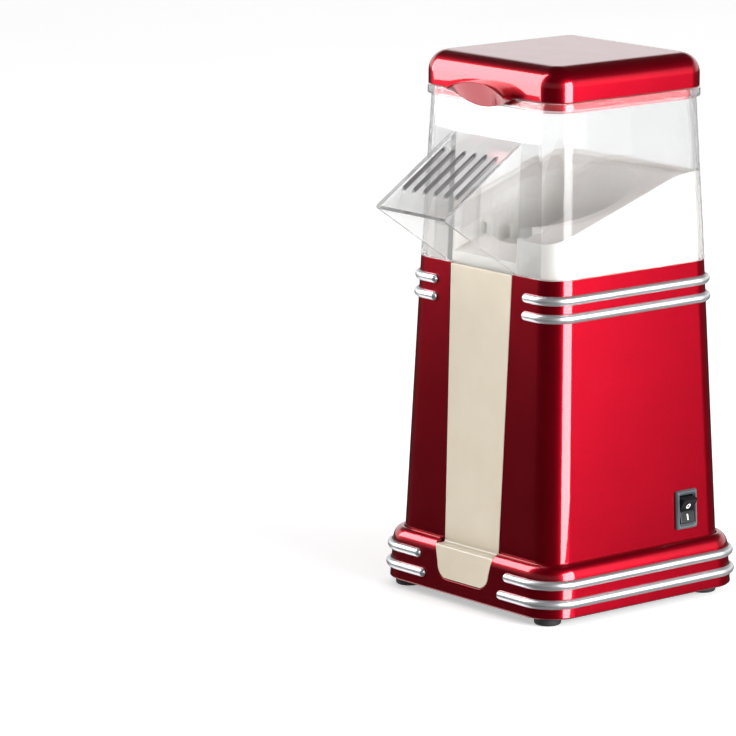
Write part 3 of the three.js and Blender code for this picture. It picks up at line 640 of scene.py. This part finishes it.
def plinth_profile():
    """The plinth's wall as (half width, corner, height), outside first and back down the inside."""
    run = base_half(BASE_SHOULDER) - SEAM_HALF - 1 * MM
    rise = BASE_TOP - BASE_SHOULDER
    tighten = BASE_CORNER - BODY_CORNER - 1 * MM
    points = [(base_half(BASE_BOTTOM) - BASE_EDGE, BASE_CORNER, BASE_BOTTOM)]
    points += [(base_half(BASE_BOTTOM + BASE_EDGE), BASE_CORNER, BASE_BOTTOM + BASE_EDGE)]
    for i in range(11):
        angle = math.radians(9 * i)
        drawn = 1 - math.cos(angle)
        half = base_half(BASE_SHOULDER) - run * drawn
        points.append((half, BASE_CORNER - tighten * drawn, BASE_SHOULDER + rise * math.sin(angle)))
    mouth = SEAM_HALF + GAP + 0.25 * MM
    points += [(mouth, BODY_CORNER + GAP, z) for z in (BASE_TOP - 0.4 * MM, BASE_LEDGE)]
    inner = BASE_HALF - BASE_WALL
    inner_corner = BASE_CORNER - BASE_WALL
    points += [(inner - 0.5 * MM, inner_corner, BASE_LEDGE), (inner, inner_corner, BASE_BOTTOM)]
    return points


def notch_outline():
    """The plinth's front notch seen from the front."""
    points = arc(NOTCH_FLOOR_HALF, NOTCH_FLOOR + NOTCH_ROUND, NOTCH_ROUND, -90, 0, 10)
    points += [(NOTCH_TOP_HALF, BASE_TOP), (NOTCH_TOP_HALF, BASE_TOP + 5 * MM)]
    return mirrored(points)


def plinth():
    """The red plinth with its front notch, which takes the ivory panel's toe."""
    made = skin("plinth", [ring(*p) for p in plinth_profile()], loop=True)
    cut(made, across_y("notch", notch_outline(), *FRONT_CUT))
    round_edges(made, 0.8 * MM, 4, 45)
    return piece(shade(made), RED, "housing", "red_shell", "base_shell")


def foot(corner):
    """A rubber disc with a ring sunk into its sole and a peg on top."""
    low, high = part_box("foot_" + corner)
    middle = (low + high) / 2
    radius = (high.x - low.x) / 2
    profile = [(0.01 * MM, 0), (radius * 0.55, 0), (radius * 0.6, 0.3 * MM), (radius * 0.7, 0.3 * MM)]
    profile += [(radius * 0.75, 0), *arc(radius - 1.3 * MM, 1.3 * MM, 1.3 * MM, -90, 0, 5)]
    profile += arc(radius - 0.5 * MM, FOOT_SHOULDER - 0.5 * MM, 0.5 * MM, 0, 90, 3)
    profile += [(FOOT_PEG, FOOT_SHOULDER), (FOOT_PEG, high.z - 0.4 * MM)]
    profile += [(FOOT_PEG - 0.4 * MM, high.z), (0.01 * MM, high.z)]
    made = lathe("rubber_foot_" + corner, profile, (middle.x, middle.y, 0))
    return piece(shade(made), RUBBER, "housing", "rubber_feet", "foot_" + corner)


# ---------------------------------------------------------------- housing


def vents():
    """The cooling slots in the back wall."""
    made = []
    for i in range(VENT_COUNT):
        z = VENT_BOTTOM + VENT_PITCH * i
        slot = [(u, v) for v, u in stadium(z, z + VENT_HEIGHT, -VENT_HALF, VENT_HALF)]
        made.append(across_y("vent", slot, *WALL_CUT))
    return made


def switch_hole():
    middle = centre_of("switch_housing")
    y, z = middle.y - AXIS_Y, middle.z
    width, height = SWITCH_HOLE_HALF_WIDTH, SWITCH_HOLE_HALF_HEIGHT
    return across_x("switch_hole", rectangle(y - width, y + width, z - height, z + height), *WALL_CUT)


def cord_port():
    middle = centre_of("cord_gland")
    return across_y("cord_port", circle(CORD_PORT_RADIUS, middle.x, middle.z, 32), *WALL_CUT)


def housing_shell():
    """The tapered wall, open at the front for the ivory panel."""
    heights = [BODY_FOOT, TOE_LEDGE, between(TOE_LEDGE, BODY_TOP, 0.5), BODY_TOP]
    rows = [wrapped(body_half(z), BODY_CORNER, z, window_half(z)) for z in heights]
    made = facing(sheet("housing_shell", rows), (1, -1, 0))
    thicken(made, BODY_WALL)
    cut(made, *vents(), switch_hole(), cord_port())
    round_edges(made, 0.5 * MM, 3, 50)
    return piece(shade(made), RED, "housing", "red_shell", "body_shell")


def panel_rows():
    """The ivory panel's front line as (y, z, half width), from its toe up to the hood."""
    clearance = GAP + 0.05 * MM
    rows = []
    reach = NOTCH_ROUND - clearance
    for i in range(1, 9):
        angle = math.radians(-90 + 11.25 * i)
        z = NOTCH_FLOOR + NOTCH_ROUND + reach * math.sin(angle)
        rows.append((-base_half(z), z, NOTCH_FLOOR_HALF + reach * math.cos(angle)))
    toe = -base_half(TOE_LEDGE)
    face = -body_half(TOE_LEDGE)
    toe_width = between(rows[-1][2], NOTCH_TOP_HALF - clearance, 0.8)
    for y, z in arc(toe + TOE_FILLET, TOE_LEDGE - TOE_FILLET, TOE_FILLET, 180, 90, 6):
        rows.append((y, z, toe_width))
    for y, z in arc(face - TOE_FILLET, TOE_LEDGE + TOE_FILLET, TOE_FILLET, -90, 0, 6):
        rows.append((y, z, window_half(z) - clearance))
    top = BODY_TOP - GAP
    for step in range(1, 9):
        z = between(TOE_LEDGE + TOE_FILLET, top, step / 8)
        rows.append((-body_half(z), z, window_half(z) - clearance))
    return rows


def front_panel():
    """The ivory panel and its toe: a curved sheet with a wall behind it."""
    columns = [i / 4 for i in range(-4, 5)]
    rows = [[Vector((half * t, AXIS_Y + y, z)) for t in columns] for y, z, half in panel_rows()]
    made = facing(sheet("front_panel_skin", rows), (0, -1, 0))
    thicken(made, PANEL_WALL)
    round_edges(made, 0.45 * MM, 3, 50)
    # The panel's warmer cream is painted shade with a warm bounce, on the one ivory plastic.
    return piece(shade(made), IVORY_PAINTED_WARM_SHADE, "housing", "ivory_plastic", "front_panel")


def trim_sections(half, corner, z, start):
    """The trim's half-round sections, from its start on the right, past the back, to its left end."""
    depths = [TRIM_PROUD * math.cos(angle) for angle in TRIM_ANGLES]
    heights = [TRIM_RADIUS * math.sin(angle) for angle in TRIM_ANGLES]
    lines = [
        wrapped(half + depth, corner + depth, z + height, start + TRIM_RADIUS)
        for depth, height in zip(depths, heights)
    ]
    return [list(section) for section in zip(*lines)]


def trim_end(half, z, start, side):
    """Sections that shrink towards the trim's round end on one side of the front."""
    rows = []
    for i in range(1, 7):
        angle = math.radians(15 * i)
        x = side * (start + TRIM_RADIUS * (1 - math.sin(angle)))
        scale = max(math.cos(angle), 0.02)
        depths = [TRIM_PROUD * scale * math.cos(a) for a in TRIM_ANGLES]
        heights = [TRIM_RADIUS * scale * math.sin(a) for a in TRIM_ANGLES]
        rows.append([Vector((x, AXIS_Y - half - d, z + h)) for d, h in zip(depths, heights)])
    return rows


def trim(node, half, corner, start):
    """A satin bar on the wall from one front wing, past the back, to the other, with round ends."""
    z = centre_of(node).z
    right_end = reversed(trim_end(half, z, start, 1))
    rows = [*right_end, *trim_sections(half, corner, z, start), *trim_end(half, z, start, -1)]
    made = skin("silver_" + node, rows)
    return piece(shade(made, 60), SILVER, "housing", "silver_trim", node)


def trims():
    """Two silver bars round the housing and two round the plinth."""
    for level in ("upper", "lower"):
        z = centre_of("body_trim_" + level).z - TRIM_RADIUS
        trim("body_trim_" + level, body_half(z) + 0.1 * MM, BODY_CORNER, BODY_TRIM_START)
        z = centre_of("base_trim_" + level).z - TRIM_RADIUS
        trim("base_trim_" + level, base_half(z) + 0.1 * MM, BASE_CORNER, BASE_TRIM_START[level])


def gland():
    """The cord's bush: a collar outside the back wall and a sleeve through it."""
    middle = centre_of("cord_gland")
    wall = AXIS_Y + body_half(middle.z)
    bore = 3.2 * MM
    profile = [(bore, -7 * MM), (5 * MM, -7 * MM), (5 * MM, 2 * GAP), (7.2 * MM, 2 * GAP)]
    profile += [(7.5 * MM, 1.1 * MM), *arc(6.4 * MM, 2.4 * MM, 0.9 * MM, 0, 60, 3), (5.1 * MM, 4.4 * MM)]
    profile += [*arc(4.1 * MM, 4.9 * MM, 0.6 * MM, 0, 180, 6), (bore, 4.4 * MM)]
    made = lathe("cord_outlet", profile, (middle.x, wall, middle.z), "Y", 48)
    return piece(shade(made), BLACK, "housing", "black_plastic", "cord_gland")


# ---------------------------------------------------------------- switch


def switch_place():
    """From the switch's own frame, with +X outwards, to the tilted wall of the housing."""
    middle = centre_of("switch_housing")
    lean = math.atan((SEAM_HALF - BODY_TOP_HALF) / (BODY_TOP - SEAM))
    wall = Vector((body_half(middle.z), middle.y, middle.z))
    return Matrix.Translation(wall) @ Matrix.Rotation(-lean, 4, "Y")


def switch_frame(x, half_width, half_height, corner):
    """A rounded rectangle in the plane x, about the switch's centre."""
    return [Vector((x, y, z)) for y, z in rounded_rectangle(half_width, half_height, corner, 5)]


def switch_housing():
    """The bezel, its well for the rocker and the sleeve behind the wall."""
    rows = []
    bezel = [(GAP, 0), (1.2 * MM, 0), (2 * MM, 0.7 * MM), (2 * MM, 1.5 * MM), (1.1 * MM, 2.4 * MM)]
    for x, inset in [*bezel, (1.1 * MM, 2.55 * MM), (-8.6 * MM, 2.6 * MM)]:
        narrow = min(inset, 1.8 * MM)
        rows.append(switch_frame(x, SWITCH_HALF_WIDTH - narrow, SWITCH_HALF_HEIGHT - inset, 1.2 * MM))
    rows.append(switch_frame(SLEEVE_END, 5.2 * MM, 7.5 * MM, 0.4 * MM))
    rows += [switch_frame(x, 6.1 * MM, 9.3 * MM, 0.8 * MM) for x in (SLEEVE_END, GAP)]
    made = skin("switch_bezel", rows, loop=True)
    made.data.transform(switch_place())
    round_edges(made, 0.15 * MM, 2, 40)
    return piece(shade(made), CHARCOAL, "housing", "charcoal_plastic", "switch_housing")


def rocker_place():
    tilt = Matrix.Rotation(math.radians(ROCKER_TILT), 4, "Y")
    return switch_place() @ Matrix.Translation((ROCKER_PIVOT, 0, 0)) @ tilt


def rocker_face(z):
    """How far the rocker's face stands out at a height from its middle."""
    return ROCKER_VALLEY + (ROCKER_RISE - ROCKER_VALLEY) * (abs(z) / ROCKER_END) ** 1.25


def rocker():
    """A rocker with a round back and two dished facets that meet in a soft valley."""
    heights = [ROCKER_END * (1 - i / 8) for i in range(17)]
    front = [(rocker_face(z), z) for z in heights]
    back = arc(0, 0, ROCKER_RADIUS, -82, -278, 16)
    rows = [[Vector((x, y, z)) for x, z in front + back] for y in (-ROCKER_HALF, ROCKER_HALF)]
    made = skin("switch_rocker_cap", rows)
    round_edges(made, 0.35 * MM, 3, 50)
    made.data.transform(rocker_place())
    return piece(shade(made), BLACK, "rocker", "black_plastic", "switch_rocker")


def printed(made):
    """Puts a printed mark, which is a thin film, on the rocker's face."""
    made.data.transform(rocker_place())
    return piece(shade(made), WHITE_MARK, "rocker", "white_plastic")


def off_mark():
    """The O on the upper half."""
    centre, outer, inner = 2.3 * MM, 1.45 * MM, 0.75 * MM
    rows = []
    for u, v in circle(1, count=40):
        row = []
        for radius, lift in ((outer, 0), (outer, MARK_FILM), (inner, MARK_FILM), (inner, 0)):
            z = centre + radius * v
            row.append(Vector((rocker_face(z) + lift, radius * u * 0.9, z)))
        rows.append(row)
    return printed(skin("switch_mark_off", rows, loop=True))


def on_mark():
    """The I on the lower half."""
    half_width, low, high = 0.4 * MM, -4.8 * MM, -2.0 * MM
    steps = [between(low, high, i / 6) for i in range(7)]
    outline = [(-half_width, z) for z in steps] + [(half_width, z) for z in reversed(steps)]
    rows = [[Vector((rocker_face(z) + lift, y, z)) for y, z in outline] for lift in (0, MARK_FILM)]
    return printed(skin("switch_mark_on", rows))


# ---------------------------------------------------------------- deck and popping chamber


def deck_rim(y, drop=0.0):
    """The height of the deck's rim at a depth y, or of a line that is a drop below it."""
    return DECK_RIM + DECK_SLOPE * min(y, DECK_FLAT_FROM) - drop


def under_rim(drop):
    """A bar that fills everything below the deck's sloping rim line."""
    bend = 10 * MM
    points = [(-DECK_REACH, deck_rim(-DECK_REACH, drop))]
    for i in range(9):
        y = DECK_FLAT_FROM - bend + 2 * bend * i / 8
        t = i / 8
        rise = deck_rim(DECK_FLAT_FROM - bend, drop) + DECK_SLOPE * 2 * bend * (t - t * t / 2)
        points.append((y, rise))
    points += [(DECK_REACH, points[-1][1]), (DECK_REACH, 100 * MM), (-DECK_REACH, 100 * MM)]
    return across_x("under_rim", points, -DECK_REACH, DECK_REACH)


def deck_skin(inset, bottom):
    """A solid block with the deck's outline, drawn in by inset."""

    def half(z):
        return min(body_half(z) - BODY_WALL, hood_half(z) - HOOD_WALL) - GAP - 0.1 * MM - inset

    corner = BODY_CORNER - BODY_WALL - inset
    return skin("deck_skin", [ring(half(z), corner, z) for z in (bottom, BODY_TOP, DECK_BLANK_TOP)])


def deck_walls():
    """The deck's upright walls, cut off at the sloping rim."""
    outer = keep_common(deck_skin(0, DECK_BOTTOM), under_rim(0))
    return cut(outer, deck_skin(DECK_WALL, DECK_BOTTOM - 1 * MM))


def deck_ramp():
    """The sloping plate a little below the rim."""
    made = keep_common(deck_skin(1 * MM, DECK_BOTTOM), under_rim(RAMP_DROP))
    return cut(made, under_rim(RAMP_DROP + DECK_PLATE))


def deck_collar():
    """The tube round the bore, from the chamber's flange up to the ramp."""
    outline = circle(DECK_BORE + 2 * MM, count=96)
    made = across_z("collar", outline, DECK_FLOOR, COLLAR_BLANK_TOP)
    return keep_common(made, under_rim(COLLAR_DROP))


def trough_cheek(side):
    """The trough's wall on one side."""
    u0, u1 = sorted((side * TROUGH_HALF, side * (TROUGH_HALF + 2 * MM)))
    outline = rectangle(u0, u1, -53 * MM, TROUGH_BACK + 4 * MM)
    made = across_z("cheek", outline, DECK_FLOOR, COLLAR_BLANK_TOP)
    return keep_common(made, deck_skin(0.2 * MM, DECK_BOTTOM), under_rim(COLLAR_DROP))


def trough_tongue():
    """The trough's floor, which falls towards the front."""
    low = DECK_FLOOR + 0.9 * MM
    back = -30 * MM
    slope = [(-DECK_REACH, low), (back, low), (back, low + 12 * MM), (-DECK_REACH, low + 0.6 * MM)]
    made = across_x("tongue", slope, -TROUGH_HALF - 1 * MM, TROUGH_HALF + 1 * MM)
    return keep_common(made, deck_skin(0.1 * MM, DECK_BOTTOM))


def deck():
    """The deck: walls inside the hood, a ramp, a collar over the chamber and a trough to the front."""
    flange = across_z("flange", circle(DECK_FLANGE, count=96), DECK_FLOOR, DECK_FLOOR + DECK_PLATE)
    made = join(deck_walls(), deck_ramp(), flange, deck_collar(), trough_cheek(-1), trough_cheek(1))
    channel = rectangle(-TROUGH_HALF, TROUGH_HALF, -DECK_REACH, TROUGH_BACK)
    cut(made, across_z("channel", channel, DECK_FLOOR + DECK_PLATE + 0.4 * MM, CHANNEL_TOP))
    join(made, trough_tongue())
    cut(made, across_z("bore", circle(DECK_BORE, count=96), 150 * MM, 260 * MM))
    round_edges(made, 0.6 * MM, 3, 45)
    # The deck's greyer white is painted strong light on the one ivory plastic.
    return piece(shade(made), IVORY_PAINTED_LIT, "housing", "ivory_plastic", "upper_deck")


# ---------------------------------------------------------------- hood


def hood_rings(inset, low, high):
    """The hood's tapered outline, drawn in by inset, at two heights."""
    return [ring(hood_half(z) - inset, HOOD_CORNER - inset, z) for z in (low, high)]


def chute_slope():
    """The fall of the chute's top and the place where it leaves the hood's front."""
    root = -hood_half(CHUTE_ROOT_Z)
    return (CHUTE_ROOT_Z - CHUTE_LIP_Z) / (root - (CHUTE_LIP_Y - AXIS_Y)), root


def chute_block(root):
    """The chute before it is hollowed: its top, its lip and its side walls in one."""
    lip = CHUTE_LIP_Y - AXIS_Y
    side = [(root + 1 * MM, CHUTE_ROOT_Z), (lip, CHUTE_LIP_Z), (lip, CHUTE_LIP_Z - 1.6 * MM)]
    side += [(-hood_half(HOOD_BOTTOM) + 1 * MM, HOOD_BOTTOM)]
    return across_x("chute_block", side, -CHUTE_HALF, CHUTE_HALF)


def chute_throat(slope, root):
    """What is cut out below the chute's top and between its side walls, through the hood's front."""

    def ceiling(y):
        return CHUTE_ROOT_Z - CHUTE_WALL * 1.25 + slope * (y - root)

    back, ahead, under = -45 * MM, CHUTE_LIP_Y - AXIS_Y - 5 * MM, 150 * MM
    outline = [(back, ceiling(back)), (ahead, ceiling(ahead)), (ahead, under), (back, under)]
    inner = CHUTE_HALF - CHUTE_WALL
    return across_x("chute_throat", outline, -inner, inner)


def hood():
    """The clear hood: tapered walls, a rim under the lid and a slotted chute in front."""
    slope, root = chute_slope()
    rows = hood_rings(0, HOOD_BOTTOM, RIM_BOTTOM - 1 * MM)
    rows += [ring(RIM_HALF, HOOD_CORNER + 0.5 * MM, z) for z in (RIM_BOTTOM, HOOD_TOP)]
    made = join(skin("clear_hood", rows), chute_block(root))
    cut(made, skin("hollow", hood_rings(HOOD_WALL, HOOD_BOTTOM - 1 * MM, HOOD_TOP + 1 * MM)))
    cut(made, chute_throat(slope, root), *chute_slots(slope, root))
    round_edges(made, 0.4 * MM, 2, 50)
    return paint_slot_shade(piece(shade(made), CLEAR, "hood", "clear_plastic", "hood"))


def paint_slot_shade(made):
    """Paints the slots' side walls an opaque dark grey: painted shade in place of the dark look that
    refraction gives them in a clear moulding.
    """
    made.data.materials.append(SLOT_PAINTED_SHADE)
    for face in made.data.polygons:
        along_chute = face.center.y < AXIS_Y - hood_half(CHUTE_ROOT_Z)
        if along_chute and abs(face.normal.x) > 0.6 and abs(face.center.x) < CHUTE_HALF - 3 * MM:
            face.material_index = 1
    return made


def chute_slots(slope, root):
    """The slots down the chute's top. Their lengths are measured along the slope."""
    level = math.cos(math.atan(slope))
    near = root - SLOT_START * level
    far = root - (SLOT_START + SLOT_LENGTH) * level
    slots = []
    for i in range(SLOT_COUNT):
        x = (i - (SLOT_COUNT - 1) / 2) * SLOT_PITCH
        outline = stadium(x - SLOT_WIDTH / 2, x + SLOT_WIDTH / 2, far, near)
        slots.append(across_z("slot", outline, 195 * MM, 260 * MM))
    return slots


# ---------------------------------------------------------------- lid


def crown(inset, low):
    """The lid's dome from its lower edge up to its flat top, drawn in by inset."""
    rows = [ring(LID_HALF - inset, LID_CORNER - inset, low)]
    radius = LID_ROUND - inset
    for i in range(11):
        angle = math.radians(9 * i)
        drawn = radius * (1 - math.cos(angle))
        z = LID_TOP - inset - radius * (1 - math.sin(angle))
        rows.append(ring(LID_HALF - inset - drawn, max(LID_CORNER - inset - drawn, 1.2 * MM), z))
    return rows


def lid():
    """A hollow crown on a shelf over the hood's rim, with a spigot inside the hood and a tab in front."""
    inside = hood_half(HOOD_TOP) - HOOD_WALL - 0.5 * MM
    corner = 10 * MM
    spigot = HOOD_TOP - SPIGOT_DEPTH
    shelf = LID_BOTTOM + 1.8 * MM
    outer = crown(0, LID_BOTTOM + 0.6 * MM)
    rows = [*reversed(outer), ring(LID_HALF - 0.5 * MM, LID_CORNER, LID_BOTTOM)]
    rows += [ring(inside, corner, z) for z in (LID_BOTTOM, spigot)]
    rows += [ring(inside - SPIGOT_WALL, corner - SPIGOT_WALL, z) for z in (spigot, shelf)]
    rows += [ring(LID_HALF - LID_WALL, LID_CORNER - LID_WALL, shelf), *crown(LID_WALL, shelf + 0.5 * MM)]
    made = skin("lid_shell", rows)
    round_edges(made, 0.3 * MM, 2, 60)
    join(made, lid_tab())
    return piece(shade(made), RED, "lid", "red_shell", "lid")


def lid_tab():
    """The finger tab: a lip ahead of the hood's rim that leans outwards, deepest at its middle."""
    root = -LID_HALF + 1.2 * MM
    clear = -RIM_HALF - 0.8 * MM
    front = -LID_HALF - TAB_REACH
    rows = []
    for i in range(33):
        across = 1 - i / 16
        swell = 1 - across ** 2
        low = LID_BOTTOM - 0.4 * MM - TAB_DROP * swell
        high = LID_BOTTOM + 1.7 * MM + TAB_RISE * swell
        side = [(root, LID_BOTTOM), (clear, LID_BOTTOM), (clear, low), (clear - TAB_EDGE, low - 0.2 * MM)]
        side += [(front + 0.3 * MM, high - 1 * MM), (front, high), (root, high)]
        rows.append([Vector((TAB_HALF * across, AXIS_Y + y, z)) for y, z in side])
    made = skin("tab", rows)
    round_edges(made, 0.3 * MM, 3, 25)
    return made


# ---------------------------------------------------------------- carried-over CAD nodes


def finish_node(name, material, rounding):
    """A CAD node that keeps its shape: a material, softened edges and smooth shading."""
    node = frame["nodes"][name]
    node.data.materials.clear()
    node.data.materials.append(material)
    node.data.shade_smooth()
    if rounding:
        step = node.modifiers.new("soft_edges", "BEVEL")
        step.width = rounding
        step.segments = 2
        step.limit_method = "ANGLE"
        step.angle_limit = math.radians(35)
    normals = node.modifiers.new("normals", "WEIGHTED_NORMAL")
    normals.keep_sharp = True


def inner_nodes():
    """The finish of each carried-over node: its material and how far its edges are rounded, in mm."""
    finishes = {
        "base_plate": (BLACK, 0.3), "gland_nut": (BLACK, 0.3), "fan_case": (BLACK, 0.2),
        "motor_end_cap": (BLACK, 0.2), "popping_chamber": (ALUMINIUM, 0.0), "chamber_gasket": (SILICONE, 0.1),
        "heater_housing": (STEEL, 0.0), "fan_impeller": (STEEL, 0.1), "motor_can": (STEEL, 0.2),
        "motor_shaft": (STEEL, 0.1), "motor_bush": (BRASS, 0.1), "motor_armature": (COPPER, 0.2),
        "motor_magnet_left": (FERRITE, 0.2), "motor_magnet_right": (FERRITE, 0.2),
        "mica_board_front": (MICA, 0.0), "mica_board_side": (MICA, 0.0), "heater_coil": (NICHROME, 0.0),
        "thermostat": (BRASS, 0.15), "thermal_fuse": (STEEL, 0.1), "rectifier_board": (BOARD, 0.1),
        "terminal_block": (WHITE_PLASTIC, 0.3), "switch_blade_upper": (BRASS, 0.1),
        "switch_blade_lower": (BRASS, 0.1), "wire_supply_live": (BROWN_WIRE, 0.0),
        "wire_switched_live": (BROWN_WIRE, 0.0), "wire_neutral": (BLUE_WIRE, 0.0),
        "wire_motor_feed": (WHITE_PLASTIC, 0.0), "wire_motor_return": (WHITE_PLASTIC, 0.0),
    }
    for number in range(1, 5):
        finishes[f"diode_{number}"] = (BLACK, 0.1)
    for name in frame["nodes"]:
        if "screw" in name:
            finishes[name] = (STEEL, 0.1)
    for name, (material, rounding) in finishes.items():
        finish_node(name, material, rounding * MM)


# ---------------------------------------------------------------- studio


CAMERA_AZIMUTH = 50.455
CAMERA_ELEVATION = 11.539
CAMERA_DISTANCE = 2.3851
CAMERA_LENS = 227.09
CAMERA_HEIGHT = STAND + 113.6 * MM
CAMERA_SIDESTEP = 99.3 * MM
SKY_LIGHT = 0.56
SKY_BEHIND_CLEAR_PIECES = 0.4


def camera():
    """A long lens that looks slightly down on the front and the switch's side."""
    back = outward(CAMERA_AZIMUTH, CAMERA_ELEVATION)
    right = outward(CAMERA_AZIMUTH + 90)
    target = Vector((0, AXIS_Y, CAMERA_HEIGHT)) - right * CAMERA_SIDESTEP
    data = bpy.data.cameras.new("camera")
    data.lens = CAMERA_LENS
    data.sensor_width = 36
    data.clip_end = 50
    made = bpy.data.objects.new("camera", data)
    made.location = target + back * CAMERA_DISTANCE
    made.rotation_mode = "QUATERNION"
    made.rotation_quaternion = (-back).to_track_quat("-Z", "Y")
    bpy.context.scene.collection.objects.link(made)
    bpy.context.scene.camera = made


def outward(azimuth, elevation=0.0):
    """The direction at an azimuth, counted from the front towards +X, and an elevation above level."""
    turn, rise = math.radians(azimuth), math.radians(elevation)
    return Vector((math.sin(turn) * math.cos(rise), -math.cos(turn) * math.cos(rise), math.sin(rise)))


def glowing_panel(name, place, faces, width, height, radiance):
    """An upright area light that looks in the direction faces."""
    data = bpy.data.lights.new(name, "AREA")
    data.shape = "RECTANGLE"
    data.size = width
    data.size_y = height
    data.energy = radiance * math.pi * width * height
    made = bpy.data.objects.new(name, data)
    made.location = place
    made.rotation_mode = "QUATERNION"
    made.rotation_quaternion = faces.to_track_quat("-Z", "Y")
    bpy.context.scene.collection.objects.link(made)
    return made


def right_softbox(azimuths, heights, distance, radiance):
    """A softbox beside the object, between two directions and two heights."""
    out = outward(sum(azimuths) / 2)
    place = Vector((0, AXIS_Y, sum(heights) / 2)) + out * distance
    width = 2 * distance * math.tan(math.radians(azimuths[1] - azimuths[0]) / 2)
    glowing_panel("right_softbox", place, -out, width, heights[1] - heights[0], radiance)


def front_card(sides, heights, distance, radiance):
    """A card parallel to the front, seen only as a reflection in the glossy pieces."""
    place = (sum(sides) / 2, AXIS_Y - distance, sum(heights) / 2)
    width, height = sides[1] - sides[0], heights[1] - heights[0]
    made = glowing_panel("front_card", place, Vector((0, 1, 0)), width, height, radiance)
    made.visible_diffuse = False


def overhead(radiance):
    """A wide soft fill from above that only lights, and shows in no reflection."""
    data = bpy.data.lights.new("overhead", "AREA")
    data.size = 3
    data.energy = radiance * math.pi * data.size ** 2
    made = bpy.data.objects.new("overhead", data)
    made.location = (0.4, -0.4, 2.4)
    made.visible_glossy = False
    bpy.context.scene.collection.objects.link(made)


def grey_stops(*stops):
    """Ramp stops from pairs of a position and a grey level."""
    return [(position, (tone, tone, tone)) for position, tone in stops]


def mirrored_room(nodes):
    """What the glossy pieces reflect: a dark room, a bright backdrop behind the object and a pale table."""
    direction = nodes.node("ShaderNodeTexCoord").outputs["Generated"]

    def towards(azimuth, elevation=0.0):
        made = nodes.node("ShaderNodeVectorMath", operation="DOT_PRODUCT")
        made.inputs[1].default_value = outward(azimuth, elevation)
        nodes.link(direction, made.inputs[0])
        return made.outputs["Value"]

    split = nodes.node("ShaderNodeSeparateXYZ")
    nodes.link(direction, split.inputs["Vector"])
    level = nodes.math("MULTIPLY_ADD", split.outputs["Z"], 0.5, 0.5)
    # How bright each height is, from straight down at 0 over the horizon at 0.5 to straight up at 1.
    ground = [(0.12, 0.6), (0.25, 0.02), (0.485, 0.02)]
    backdrop = [(0.505, 1), (0.68, 1), (0.73, 0.015)]
    heights = nodes.ramp(level, *grey_stops(*ground, *backdrop))
    behind = towards(CAMERA_AZIMUTH + 180)
    sides = nodes.ramp(behind, *grey_stops((0.0, 0.22), (0.15, 0.22), (0.5, 1)))
    table = nodes.ramp(towards(-71, -37), *grey_stops((0.93, 0), (0.97, 1)))
    return nodes.math("ADD", nodes.math("MULTIPLY", heights, sides), nodes.math("MULTIPLY", table, 1.7))


def world():
    """An even white sky, brighter behind clear pieces, except in reflections, which show a room."""
    made = bpy.data.worlds.new("studio")
    bpy.context.scene.world = made
    made.use_nodes = True
    nodes = Nodes(made.node_tree)
    path = nodes.node("ShaderNodeLightPath")
    through = path.outputs["Is Transmission Ray"]
    mirrored_only = nodes.math("MULTIPLY", path.outputs["Is Glossy Ray"], nodes.math("SUBTRACT", 1, through))
    mix = nodes.node("ShaderNodeMix")
    nodes.link(mirrored_only, mix.inputs["Factor"])
    sky = nodes.math("MULTIPLY_ADD", through, SKY_BEHIND_CLEAR_PIECES, SKY_LIGHT)
    nodes.link(sky, mix.inputs["A"])
    nodes.link(mirrored_room(nodes), mix.inputs["B"])
    background = made.node_tree.nodes["Background"]
    background.inputs["Color"].default_value = (1, 1, 1, 1)
    nodes.link(mix.outputs["Result"], background.inputs["Strength"])


def floor():
    """A pale floor that glows a little and shows in no reflection."""
    half = 8.0
    data = bpy.data.meshes.new("floor")
    corners = [(x, y, 0) for x, y in rectangle(-half, half, -half, half)]
    data.from_pydata(corners, [], [(0, 1, 2, 3)])
    made = bpy.data.objects.new("floor", data)
    bpy.context.scene.collection.objects.link(made)
    surface = Shader("pale_floor")
    surface.colour(surface.ramp(surface.noise(3, 2), (0.3, (0.86, 0.86, 0.86)), (0.7, (0.9, 0.9, 0.9))))
    surface.set(Roughness=0.8, Emission_Color=(1, 1, 1, 1), Emission_Strength=0.45)
    data.materials.append(surface.material)
    made.visible_glossy = False


def studio():
    """The sky, the floor and the lights, shown without a film-like tone curve."""
    scene = bpy.context.scene
    scene.view_settings.view_transform = "Standard"
    scene.view_settings.look = "None"
    world()
    floor()
    right_softbox(azimuths=(83, 123.7), heights=(-0.22, 0.95), distance=1.6, radiance=13.5)
    front_card(sides=(-0.95, -0.3), heights=(0.186, 1.1), distance=0.45, radiance=7.6)
    overhead(radiance=0.3)


# ---------------------------------------------------------------- everything


camera()
studio()
plinth()
for place in ("front_left", "front_right", "rear_left", "rear_right"):
    foot(place)
housing_shell()
front_panel()
trims()
gland()
switch_housing()
rocker()
off_mark()
on_mark()
deck()
hood()
lid()
inner_nodes()
